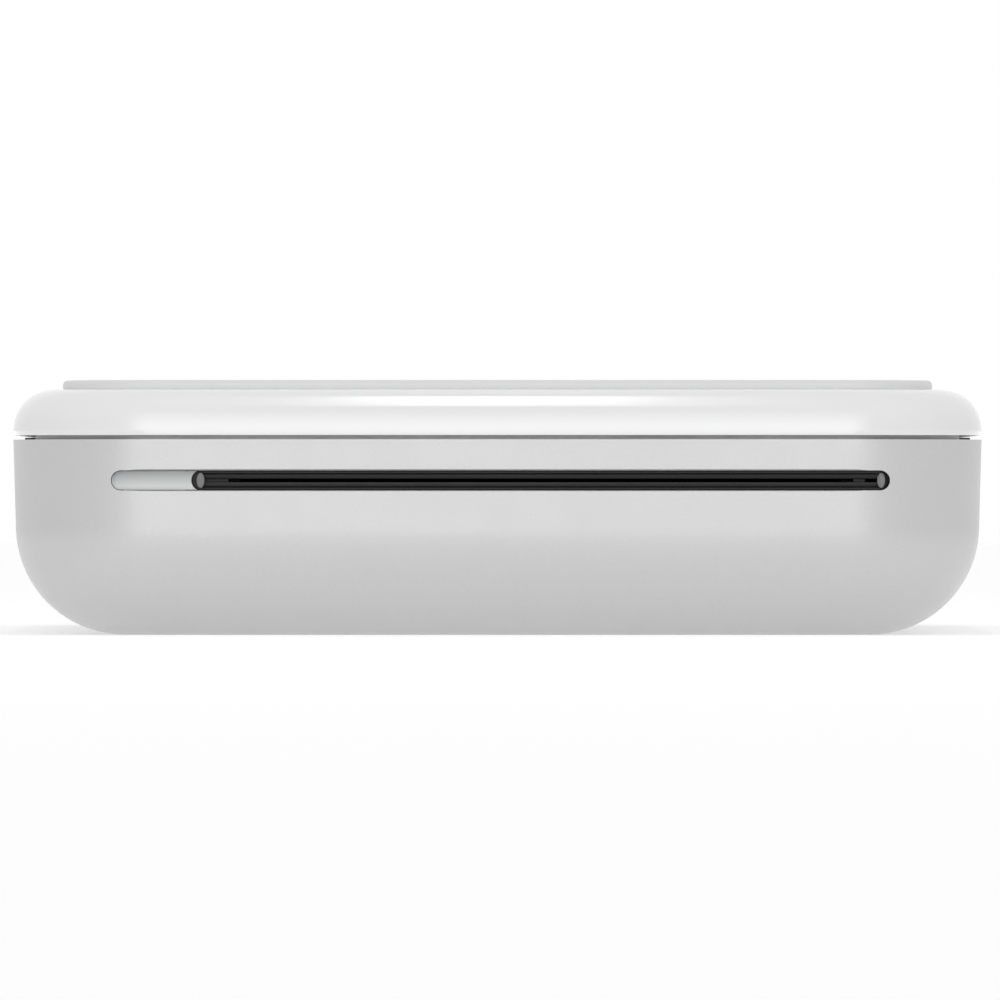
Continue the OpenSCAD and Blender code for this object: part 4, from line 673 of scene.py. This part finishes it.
# Two stiffening ribs across the ceiling, the ears that hold the press plate's pin, and two rest pads
rib_w, rib_drop, rib_rows = 66 * MM, 0.7 * MM, (28.8 * MM, 46.8 * MM)
for y in rib_rows:
    carve(cover, slab("rib", (0, y, ceiling_z - rib_drop), rib_w, MM, 0, "Z", MM), "UNION")
ear_place = Vector((path_x, -2 * MM, ceiling_z - 1.15 * MM))
ear_apart, ear_thick = 15.9 * MM, 1.2 * MM
ear_l, ear_h, ear_r = 3.2 * MM, 3.3 * MM, 1.55 * MM
for side in (-1, 1):
    place = ear_place + Vector((side * ear_apart - ear_thick / 2, 0, 0))
    carve(cover, slab("ear", place, ear_l, ear_h, ear_r, "X", ear_thick, cut_steps), "UNION")
rest_x, rest_y, rest_z = 22 * MM, front_y + 2.6 * MM, rim_z + 1.15 * MM
rest_w, rest_l = 3 * MM, 1.4 * MM
for side in (-1, 1):
    carve(cover, slab("rest", (side * rest_x, rest_y, rest_z), rest_w, rest_l, 0, "Z",
                      ceiling_z - rim_z - MM), "UNION")
soften(cover, 0.1 * MM, angle=40)
cover_gloss = surface("cover_gloss", (0.96, 0.96, 0.965), mottle=0.006, grain=900.0, gloss=(0.1, 0.17),
                      dust=0.012, bump=0.02, coat=0.5)
finish_piece(cover, "top_cover", "cover_white", cover_gloss, "top_cover")

# ---------------------------------------------------------------- Top panel
# A thin satin panel bonded into the cover's recess, standing a little over three quarters of a
# millimetre proud, with a soft pressed edge all round.
panel_rise, panel_edge_r = 0.77 * MM, 0.4 * MM
panel = outline("top_panel_skin", panel_margin, shoulder_z - panel_seat_depth, shoulder_z + panel_rise)
round_edges(panel, panel_edge_r, 5, lambda co: co.z > shoulder_z)
soften(panel, 0, angle=40)
panel_satin = surface("panel_satin", (0.83, 0.83, 0.835), mottle=0.01, grain=4200.0, gloss=(0.38, 0.46),
                      dust=0.02, bump=0.1)
finish_piece(panel, "top_cover", "panel_grey", panel_satin, "top_panel")

# ---------------------------------------------------------------- Exit slot and light window
# The slot is lined by one black glossy moulding with rounded cheeks at its ends, painted grey as a highlight.
# Left of it a clear white light guide shows the lamp that stands on its own small board behind the case's
# wall.
nodes = frame["nodes"]
slot_of = {part["node"]: part["material_slot"] for part in frame["record"]["subparts"]}
body_of = {node: body for body, held in frame["record"]["behaviour"]["bodies"].items() for node in held}


def worked_copy(node, edge, angle=30, segments=2):
    """A copy of the model's own node: merged, cleared of seams, its edges softened."""
    obj = bpy.data.objects.new(node + "_piece", nodes[node].data.copy())
    bpy.context.scene.collection.objects.link(obj)
    use(obj)
    bpy.ops.object.mode_set(mode="EDIT")
    bpy.ops.mesh.select_all(action="SELECT")
    bpy.ops.mesh.remove_doubles(threshold=2e-6)
    bpy.ops.mesh.dissolve_limited(angle_limit=math.radians(0.2))
    bpy.ops.object.mode_set(mode="OBJECT")
    return soften(obj, edge, segments, angle)


def remade(node, edge, material, angle=30, segments=2):
    """A piece made from a worked copy of a node, on the node's own body."""
    obj = worked_copy(node, edge, angle, segments)
    return finish_piece(obj, body_of[node], slot_of[node], material, node)


def joined(name, pieces):
    """Makes one piece of several."""
    deselect()
    for piece in pieces:
        piece.select_set(True)
    bpy.context.view_layer.objects.active = pieces[0]
    bpy.ops.object.join()
    bpy.context.object.name = name
    return bpy.context.object


slot_gloss = surface("slot_gloss", (0.006, 0.006, 0.0065), grain=2000.0, gloss=(0.2, 0.28), dust=0.0,
                     bump=0.03)
slot_gloss.node_tree.nodes["Principled BSDF"].inputs["Specular IOR Level"].default_value = 0.2


def trimmed(node, edge, segments, face_drop=0.32 * MM):
    """A copy of a node whose front follows the case's rounded corners, a little behind its face."""
    obj = carve(worked_copy(node, 0), tub("trim", face_drop, 0, rim_z), "INTERSECT")
    return soften(obj, edge, segments)


# The frame, a lens-shaped cheek at each end painted grey as a highlight, and the two black blades of the
# throat behind it, which also stand in for the shade inside the slot
cheek_size = (0.34 * MM, 0.16 * MM, 0.65 * MM)
cheek_drop = 0.38 * MM
left_cheek_x, right_cheek_x = guide_left + 0.74 * MM, guide_right - 0.76 * MM
slot_parts = [trimmed("exit_guide", 0.07 * MM, 3)]
for x in (left_cheek_x, right_cheek_x):
    past_corner = max(abs(x) - body_w / 2 + corner_r, 0)
    cheek_y = front_y + cheek_drop + corner_r - math.sqrt(corner_r ** 2 - past_corner ** 2)
    deselect()
    bpy.ops.mesh.primitive_uv_sphere_add(segments=32, ring_count=16, radius=1, location=(x, cheek_y, nip_z))
    cheek = bpy.context.object
    cheek.scale = cheek_size
    bpy.ops.object.transform_apply(location=True, rotation=True, scale=True)
    bpy.ops.object.shade_smooth_by_angle(angle=math.radians(60))
    wear(cheek, slot_gloss)
    mark_faces(cheek, "cheek", [1.0] * len(cheek.data.polygons))
    slot_parts.append(cheek)
throat_y = front_y + 2.6 * MM
blade_y = throat_y - 0.7 * MM
throat, blade_h, blade_l = 0.12 * MM, 0.5 * MM, 0.6 * MM
# Two black blades narrow the throat and stand in for the shade inside the slot
for side in (-1, 1):
    blade_z = nip_z + side * (throat + blade_h / 2)
    blade = slab("blade", (path_x, blade_y, blade_z), slot_w, blade_h, 0, "Y", blade_l)
    soften(blade, 0.08 * MM, 2)
    wear(blade, slot_gloss)
    slot_parts.append(blade)
slot_frame = finish_piece(joined("exit_guide_piece", slot_parts), body_of["exit_guide"],
                          slot_of["exit_guide"], slot_gloss, "exit_guide")
# Painted shade: the frame's faces behind the throat are painted near black
in_shaded_recess = [float(face.center.y > throat_y) for face in slot_frame.data.polygons]
mark_faces(slot_frame, "recess", in_shaded_recess)
# Painted highlight: the rounded cheeks are painted grey
paint_over(slot_gloss, face_mask(slot_gloss, "cheek"), (0.25, 0.25, 0.255, 1))
paint_over(slot_gloss, face_mask(slot_gloss, "recess"), (0.003, 0.003, 0.003, 1), 0.95)

# The window: milky, with painted shade darkening its upper part and a dark painted shade along its rim
window_glow = surface("window_glow", (0.9, 0.905, 0.91), mottle=0.01, grain=1500.0, gloss=(0.12, 0.2),
                      dust=0.0, bump=0.02, edge_tone=(0.16, 0.16, 0.165), edge_wear_and_light=1.0)
window_shader = window_glow.node_tree.nodes["Principled BSDF"]
window_shader.inputs["Transmission Weight"].default_value = 0.12
window_shader.inputs["IOR"].default_value = 1.49


def object_axes(tree):
    """The object's own X, Y and Z at each point, as the outputs of one node."""
    split = tree.nodes.new("ShaderNodeSeparateXYZ")
    tree.links.new(tree.nodes.new("ShaderNodeTexCoord").outputs["Object"], split.inputs[0])
    return split.outputs


tree = window_glow.node_tree
# Painted shade: the window's colour darkens towards its top, for how the light falls on it
shade_low_z, shade_high_z = nip_z - 0.45 * MM, nip_z + 0.6 * MM
painted_upper_shade = ranged(tree, object_axes(tree)["Z"], shade_low_z, shade_high_z, 0.0, 0.8)
paint_over(window_glow, painted_upper_shade, (0.4, 0.405, 0.41, 1))
finish_piece(trimmed("status_light_guide", 0.11 * MM, 2), body_of["status_light_guide"],
             slot_of["status_light_guide"], window_glow, "status_light_guide")

# Solder mask over copper: paler traces, bare pads with a gold finish, and a cut edge
board_green, board_copper = (0.012, 0.085, 0.035), (0.02, 0.13, 0.06)
trace_scale, pad_scale = 420.0, 520.0
board_mask = surface("board_mask", board_green, mottle=0.05, grain=1800.0, gloss=(0.22, 0.34), bump=0.04,
                     coat=0.3, edge_tone=(0.35, 0.33, 0.2), edge_wear_and_light=1.0)
tree = board_mask.node_tree
spot = tree.nodes.new("ShaderNodeTexCoord").outputs["Object"]
cells = tree.nodes.new("ShaderNodeTexVoronoi")
cells.distance = "MANHATTAN"
cells.feature = "F2"
cells.inputs["Scale"].default_value = trace_scale
tree.links.new(spot, cells.inputs["Vector"])
rings = sums(tree, "PINGPONG", sums(tree, "MULTIPLY", cells.outputs["Distance"], 6.0), 1.0)
traces = ranged(tree, rings, 0.42, 0.5, 0.0, 0.85)
paint_over(board_mask, traces, (*board_copper, 1))
pads = tree.nodes.new("ShaderNodeTexVoronoi")
pads.inputs["Scale"].default_value = pad_scale
pads.inputs["Randomness"].default_value = 0.35
tree.links.new(spot, pads.inputs["Vector"])
chosen = sums(tree, "GREATER_THAN", noise(tree, spot, 210.0, 1.0), 0.56)
dots = sums(tree, "MULTIPLY", sums(tree, "LESS_THAN", pads.outputs["Distance"], 0.2), chosen)
paint_over(board_mask, dots, (0.75, 0.56, 0.22, 1), 0.25)
remade("light_board", 0.05 * MM, board_mask)
lamp_milk = surface("lamp_milk", (0.82, 0.8, 0.68), gloss=(0.15, 0.25), dust=0.0)
remade("status_led", 0.1 * MM, lamp_milk)

# ---------------------------------------------------------------- Rear end
# A narrow board across the back carries the charging socket, the power switch under its silver
# button, the recessed reset switch and the charge light, whose lens stops short of the wall.
remade("rear_board", 0.05 * MM, board_mask)
button_paint = surface("button_paint", (0.46, 0.46, 0.465), mottle=0.015, grain=5200.0, streak=0.1,
                       gloss=(0.3, 0.38), dust=0.02, bump=0.1, metal=0.9, edge_tone=(0.66, 0.66, 0.66),
                       edge_wear_and_light=0.6)
remade("power_button", 0.28 * MM, button_paint, segments=4)
black_moulding = surface("black_moulding", (0.018, 0.018, 0.02), mottle=0.05, grain=2600.0,
                         gloss=(0.42, 0.55), dust=0.06, bump=0.5, edge_tone=(0.06, 0.06, 0.062),
                         edge_wear_and_light=0.5)
plunger_white = surface("plunger_white", (0.62, 0.62, 0.6), gloss=(0.3, 0.4), edge_tone=(0.7, 0.7, 0.68),
                        edge_wear_and_light=0.5)
for switch in ("power_switch", "reset_switch"):
    remade(switch, 0.08 * MM, black_moulding)
for plunger in ("power_switch_plunger", "reset_plunger"):
    remade(plunger, 0.12 * MM, plunger_white, segments=3)
# The charge light's lens takes the window's finish, with the painted shade along its rim
remade("charge_light", 0.08 * MM, window_glow)
plated = surface("plated_shell", (0.62, 0.62, 0.63), mottle=0.03, grain=1800.0, stretch=(1, 0.1, 1),
                 streak=0.08, gloss=(0.16, 0.3), dust=0.03, bump=0.05, metal=1.0, edge_tone=(0.8, 0.8, 0.8),
                 edge_wear_and_light=0.7)
socket = remade("usb_socket", 0.06 * MM, plated)
socket_low, socket_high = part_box("usb_socket")
socket_mid = (socket_low + socket_high) / 2
tongue_half_w = (socket_high.x - socket_low.x) / 4 + 0.02 * MM
tongue_under, tongue_over = socket_mid.z - 0.12 * MM, socket_mid.z + 0.52 * MM
tongue_root, tongue_tip = socket_low.y + 1.05 * MM, socket_high.y - 0.9 * MM


def on_tongue(spot):
    """Whether a point lies on the socket's black tongue."""
    return (abs(spot.x - socket_mid.x) < tongue_half_w and tongue_under < spot.z < tongue_over
            and tongue_root < spot.y < tongue_tip)


mark_faces(socket, "tongue", [float(on_tongue(face.center)) for face in socket.data.polygons])
paint_over(plated, face_mask(plated, "tongue"), (0.012, 0.012, 0.012, 1), 0.5)

# ---------------------------------------------------------------- Chassis and paper tray
# One black moulding: a deck with the tray sunk into it, ribs that the sheets slide on, and two cheeks
# that carry the rollers. It is screwed to posts on the case's floor.
remade("chassis", 0.1 * MM, black_moulding)
friction = surface("friction_pad", (0.24, 0.225, 0.2), mottle=0.12, grain=3500.0, gloss=(0.8, 0.92),
                   dust=0.1, bump=3.0)
remade("separation_pad", 0.08 * MM, friction)
chip_resin = surface("chip_resin", (0.014, 0.014, 0.015), mottle=0.04, grain=6000.0, gloss=(0.4, 0.55),
                     bump=0.3, edge_tone=(0.04, 0.04, 0.04), edge_wear_and_light=0.4)
remade("sheet_sensors", 0.08 * MM, chip_resin)
screw_zinc = surface("screw_zinc", (0.5, 0.5, 0.52), mottle=0.06, grain=2200.0, streak=0.1,
                     gloss=(0.25, 0.4), bump=0.1, metal=1.0, edge_tone=(0.7, 0.7, 0.7), edge_wear_and_light=0.8)
for screws in ("chassis_screws", "small_screws"):
    remade(screws, 0.08 * MM, screw_zinc)

# ---------------------------------------------------------------- Print head
# The ceramic strip with the heater line is bonded under a milled heat sink, which hangs on two pins
# and is pressed down by two springs under a folded steel bracket. A ribbon joins it to the board.
rolled = surface("rolled_steel", (0.56, 0.57, 0.58), mottle=0.04, grain=2400.0, stretch=(0.04, 1, 1),
                 streak=0.18, gloss=(0.26, 0.38), bump=0.15, metal=1.0, edge_tone=(0.75, 0.75, 0.76),
                 edge_wear_and_light=0.7)
remade("head_bracket", 0.09 * MM, rolled)
milled = surface("milled_aluminium", (0.66, 0.67, 0.68), mottle=0.03, grain=3200.0, stretch=(0.03, 1, 1),
                 streak=0.22, gloss=(0.3, 0.42), bump=0.25, metal=1.0, edge_tone=(0.85, 0.85, 0.86),
                 edge_wear_and_light=0.7)
remade("head_heatsink", 0.08 * MM, milled)
glazed = surface("glazed_ceramic", (0.74, 0.71, 0.64), mottle=0.05, grain=900.0, gloss=(0.1, 0.2),
                 bump=0.03)
remade("head_ceramic", 0.04 * MM, glazed)
ground = surface("ground_steel", (0.6, 0.61, 0.62), mottle=0.03, grain=2600.0, stretch=(1, 0.06, 0.06),
                 streak=0.12, gloss=(0.14, 0.24), bump=0.08, metal=1.0, edge_tone=(0.8, 0.8, 0.8),
                 edge_wear_and_light=0.6)
remade("head_pivot_pins", 0.1 * MM, ground)


def wire(name, points, radius, resolution=4):
    """A round wire along points: a curve with a round bevel and closed ends, made a mesh."""
    route = bpy.data.curves.new(name, "CURVE")
    route.dimensions = "3D"
    line = route.splines.new("POLY")
    line.points.add(len(points) - 1)
    for place, point in zip(line.points, points):
        place.co = (*point, 1)
    route.bevel_depth = radius
    route.bevel_resolution = resolution
    route.use_fill_caps = True
    obj = bpy.data.objects.new(name, route)
    bpy.context.scene.collection.objects.link(obj)
    use(obj)
    bpy.ops.object.convert(target="MESH")
    obj = bpy.context.object
    bpy.ops.object.mode_set(mode="EDIT")
    bpy.ops.mesh.select_all(action="SELECT")
    bpy.ops.mesh.remove_doubles(threshold=1e-6)
    bpy.ops.object.mode_set(mode="OBJECT")
    bpy.ops.object.shade_smooth_by_angle(angle=math.radians(50))
    return obj


def coil(name, x, y, low, high, outer, turns, gauge):
    """A compression spring: open turns between two closed end turns, on a wire of radius gauge."""
    dead, steps = 0.75, 24
    rise = dead * 2.1 * gauge
    stops = ((0, low + gauge), (dead, low + gauge + rise), (dead + turns, high - gauge - rise),
             (2 * dead + turns, high - gauge))
    points = []
    for step in range(int((2 * dead + turns) * steps) + 1):
        turn = step / steps
        for (start, z0), (end, z1) in zip(stops, stops[1:]):
            if start <= turn <= end:
                z = z0 + (z1 - z0) * (turn - start) / (end - start)
        angle = 2 * math.pi * turn
        points.append((x + (outer - gauge) * math.cos(angle), y + (outer - gauge) * math.sin(angle), z))
    return wire(name, points, gauge)


def springs(node, turns, outer, gauge, material):
    """The pair of coils in place of a node's."""
    low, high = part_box(node)
    middle = (low.y + high.y) / 2
    pair = [coil("coil", x, middle, low.z, high.z, outer, turns, gauge)
            for x in (low.x + outer, high.x - outer)]
    obj = finish_piece(joined(node + "_piece", pair), body_of[node], slot_of[node], material, node)
    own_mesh(obj)
    return obj


music_wire = surface("music_wire", (0.45, 0.46, 0.48), grain=3000.0, streak=0.06, gloss=(0.18, 0.3),
                     metal=1.0)
springs("head_springs", turns=1.5, outer=1.6 * MM, gauge=0.15 * MM, material=music_wire)

# The ribbon: amber film over bright tracks that run its whole length
track_pitch = 0.3 * MM
ribbon_film = surface("ribbon_film", (0.34, 0.14, 0.03), grain=1500.0, gloss=(0.2, 0.3), bump=0.02, coat=0.4)
tree = ribbon_film.node_tree
track = sums(tree, "PINGPONG", sums(tree, "MULTIPLY", object_axes(tree)["Y"], 1 / track_pitch), 1.0)
paint_over(ribbon_film, ranged(tree, track, 0.5, 0.6, 0.0, 0.85), (0.62, 0.3, 0.07, 1))
ribbon = settle(worked_copy("head_cable", 0.0, 40))
wear(ribbon, ribbon_film)
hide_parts("head_cable")
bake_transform(ribbon)

# ---------------------------------------------------------------- Platen and pickup roller
# Steel shafts turn in flanged bronze bushes and are held by open clips. The platen is a ground
# rubber sleeve; the pickup roller carries two grooved tyres on plastic hubs.
bearing_bronze = surface("bearing_bronze", (0.5, 0.3, 0.12), mottle=0.1, grain=4500.0, streak=0.15,
                         gloss=(0.35, 0.5), bump=0.3, metal=1.0, edge_tone=(0.75, 0.5, 0.25), edge_wear_and_light=0.7)
sleeve_rubber = surface("sleeve_rubber", (0.022, 0.022, 0.024), mottle=0.08, grain=5200.0,
                        stretch=(0.3, 1, 1), streak=0.2, gloss=(0.62, 0.78), dust=0.1, bump=0.4)
tyre_rubber = surface("tyre_rubber", (0.15, 0.16, 0.17), mottle=0.08, grain=4200.0, gloss=(0.7, 0.85),
                      dust=0.16, bump=0.6, edge_tone=(0.3, 0.3, 0.3), edge_wear_and_light=0.5)
hub_acetal = surface("hub_acetal", (0.04, 0.042, 0.048), gloss=(0.35, 0.45), bump=0.1,
                     edge_tone=(0.1, 0.1, 0.11), edge_wear_and_light=0.4)
for shaft in ("platen_shaft", "pickup_shaft"):
    remade(shaft, 0.12 * MM, ground, segments=3)
remade("platen_rubber", 0.25 * MM, sleeve_rubber, angle=50, segments=3)
for bushes in ("platen_bushes", "pickup_bushes"):
    remade(bushes, 0.06 * MM, bearing_bronze)
for clip in ("platen_clip", "pickup_clip"):
    remade(clip, 0.04 * MM, music_wire)
remade("pickup_hubs", 0.1 * MM, hub_acetal)
remade("pickup_tyres", 0.05 * MM, tyre_rubber)

# ---------------------------------------------------------------- Motor and gear train
# A flat-sided brush motor drives a two-step acetal gear and two idlers on riveted steel posts, with
# a gear on each roller's shaft. A black lid closes the bay.
gear_acetal = surface("gear_acetal", (0.66, 0.64, 0.57), mottle=0.03, grain=1800.0, gloss=(0.3, 0.42),
                      dust=0.05, bump=0.08, edge_tone=(0.75, 0.73, 0.68), edge_wear_and_light=0.5)
gear_shader = gear_acetal.node_tree.nodes["Principled BSDF"]
gear_shader.inputs["Subsurface Weight"].default_value = 0.08
gear_shader.inputs["Subsurface Scale"].default_value = 0.5 * MM
for gear in ("platen_gear", "pickup_gear", "idler_gear_front", "idler_gear_rear", "reduction_gear"):
    remade(gear, 0.03 * MM, gear_acetal, angle=40)
drawn_can = surface("drawn_can", (0.5, 0.51, 0.53), mottle=0.05, grain=2600.0, stretch=(0.05, 1, 1),
                    streak=0.16, gloss=(0.2, 0.32), bump=0.1, metal=1.0, edge_tone=(0.72, 0.72, 0.73),
                    edge_wear_and_light=0.6)
remade("feed_motor", 0.15 * MM, drawn_can, segments=3)
remade("motor_shaft", 0.06 * MM, ground)
remade("motor_pinion", 0.03 * MM, bearing_bronze, angle=40)
remade("idler_posts", 0.1 * MM, ground)
remade("gear_plate", 0.06 * MM, rolled)
remade("gear_cover", 0.12 * MM, black_moulding)

# ---------------------------------------------------------------- Press plate
# Under the cover a bent steel plate with a cork pad swings on a pin between two ears, and two
# springs push it down on the sheets over the pickup roller.
remade("press_plate", 0.08 * MM, rolled)
cork = surface("pressed_cork", (0.27, 0.15, 0.075), mottle=0.2, grain=2600.0, streak=0.5,
               gloss=(0.75, 0.9), dust=0.05, bump=4.0, edge_tone=(0.4, 0.25, 0.14), edge_wear_and_light=0.6)
tree = cork.node_tree
grains = tree.nodes.new("ShaderNodeTexVoronoi")
grains.inputs["Scale"].default_value = 1500.0
tree.links.new(tree.nodes.new("ShaderNodeTexCoord").outputs["Object"], grains.inputs["Vector"])
paint_over(cork, ranged(tree, grains.outputs["Distance"], 0.35, 0.7, 0.0, 0.7), (0.12, 0.06, 0.03, 1))
remade("press_pad", 0.06 * MM, cork)
remade("press_plate_pin", 0.12 * MM, ground, segments=3)
springs("press_plate_springs", turns=4, outer=1.8 * MM, gauge=0.175 * MM, material=music_wire)

# ---------------------------------------------------------------- Electronics and battery
# The main board is cut round the battery and the motor. It carries the shielded radio module, the
# drivers, the storage capacitor for the head's pulses, the inductor and the lead connectors.
remade("main_board", 0.05 * MM, board_mask)
remade("wireless_module", 0.1 * MM, plated)
remade("board_chips", 0.06 * MM, chip_resin)
sleeve_blue = surface("capacitor_sleeve", (0.02, 0.025, 0.045), grain=1800.0, gloss=(0.22, 0.32), bump=0.05,
                      edge_tone=(0.5, 0.5, 0.52), edge_wear_and_light=0.5)
remade("storage_capacitor", 0.15 * MM, sleeve_blue, segments=3)
ferrite = surface("ferrite_core", (0.07, 0.07, 0.075), mottle=0.12, grain=4200.0, gloss=(0.5, 0.65), bump=0.8,
                  edge_tone=(0.16, 0.16, 0.16), edge_wear_and_light=0.6)
remade("power_inductor", 0.12 * MM, ferrite, segments=3)
nylon = surface("connector_nylon", (0.72, 0.68, 0.56), grain=1800.0, gloss=(0.35, 0.45), bump=0.1,
                edge_tone=(0.8, 0.77, 0.68), edge_wear_and_light=0.5)
for connector in ("head_connector", "lead_connectors"):
    remade(connector, 0.1 * MM, nylon)
pouch_foil = surface("pouch_foil", (0.42, 0.43, 0.45), mottle=0.05, grain=420.0, stretch=(1, 1, 0.3),
                     streak=0.1, gloss=(0.24, 0.36), dust=0.03, bump=6.0, metal=0.9,
                     edge_tone=(0.6, 0.6, 0.62), edge_wear_and_light=0.4)
tape_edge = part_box("battery")[0].y + 6 * MM
tree = pouch_foil.node_tree
taped = sums(tree, "LESS_THAN", object_axes(tree)["Y"], tape_edge)
paint_over(pouch_foil, taped, (0.42, 0.2, 0.035, 1), 0.3)
remade("battery", 0.5 * MM, pouch_foil, segments=4)


lead_r = 0.4 * MM


def smooth_route(points, steps=8):
    """Points of a smooth curve through the given ones."""
    ends = [points[0]] + list(points) + [points[-1]]
    route = []
    for a, b, c, d in zip(ends, ends[1:], ends[2:], ends[3:]):
        for step in range(steps):
            t = step / steps
            route.append(tuple(0.5 * (2 * q + (r - p) * t + (2 * p - 5 * q + 4 * r - s) * t * t
                                      + (3 * q - p - 3 * r + s) * t ** 3) for p, q, r, s in zip(a, b, c, d)))
    return route + [tuple(points[-1])]


def lead_pair(node, origin, first, second, colours):
    """Two insulated leads in place of a node's, along the points of the model's own leads."""
    pair = []
    for label, points in enumerate((first, second)):
        places = [[o + c * MM for o, c in zip(origin, point)] for point in points]
        lead = wire("lead", smooth_route(places), lead_r)
        mark_faces(lead, "second", [float(label)] * len(lead.data.polygons))
        pair.append(lead)
    jacket = surface(node + "_jacket", colours[0], grain=900.0, gloss=(0.3, 0.42), bump=0.1)
    paint_over(jacket, face_mask(jacket, "second"), (*colours[1], 1))
    return finish_piece(joined(node + "_piece", pair), body_of[node], slot_of[node], jacket, node)


lead_pair("battery_lead", (-0.95 * MM, -2.7 * MM, 0),
          [[-5.15, 0, 6.6], [-5.15, -0.6, 6.6], [-4.65, -1.6, 6.7], [-3.45, -2.3, 6.9], [-1.05, -2.5, 7.1],
           [2.45, -2.4, 7.4], [4.95, -1.9, 7.65], [5.95, -0.5, 7.75], [6.05, 1.1, 7.75],
           [6.05, 2.2, 7.75]],
          [[-3.55, 0, 6.6], [-3.55, -0.4, 6.6], [-3.15, -1, 6.65], [-2.05, -1.25, 6.8], [-0.05, -1.2, 7.1],
           [2.35, -1, 7.5], [3.95, -0.2, 7.7], [4.55, 0.9, 7.75], [4.55, 2.2, 7.75]],
          ((0.35, 0.015, 0.012), (0.014, 0.014, 0.015)))
lead_pair("motor_lead", (-9.8 * MM, -16 * MM, 0),
          [[0, -3.9, 6.8], [0.5, -3.9, 6.8], [0.9, -3.2, 6.3], [0.4, -1.6, 5.85], [-1.6, 0.1, 5.75],
           [-4.2, 1.5, 5.8], [-6.2, 2.25, 6.2], [-7.3, 2.4, 6.4], [-7.9, 2.4, 6.4]],
          [[0, -11.5, 6.8], [0.6, -11.5, 6.8], [1.4, -11, 6.5], [2, -9.5, 6.1], [2.4, -6, 5.8],
           [2.2, -2.6, 5.7], [0.6, 0.2, 5.7], [-2.6, 2.4, 5.75], [-5.6, 3.5, 6.1], [-7.3, 3.7, 6.4],
           [-7.9, 3.7, 6.4]],
          ((0.014, 0.014, 0.015), (0.35, 0.015, 0.012)))
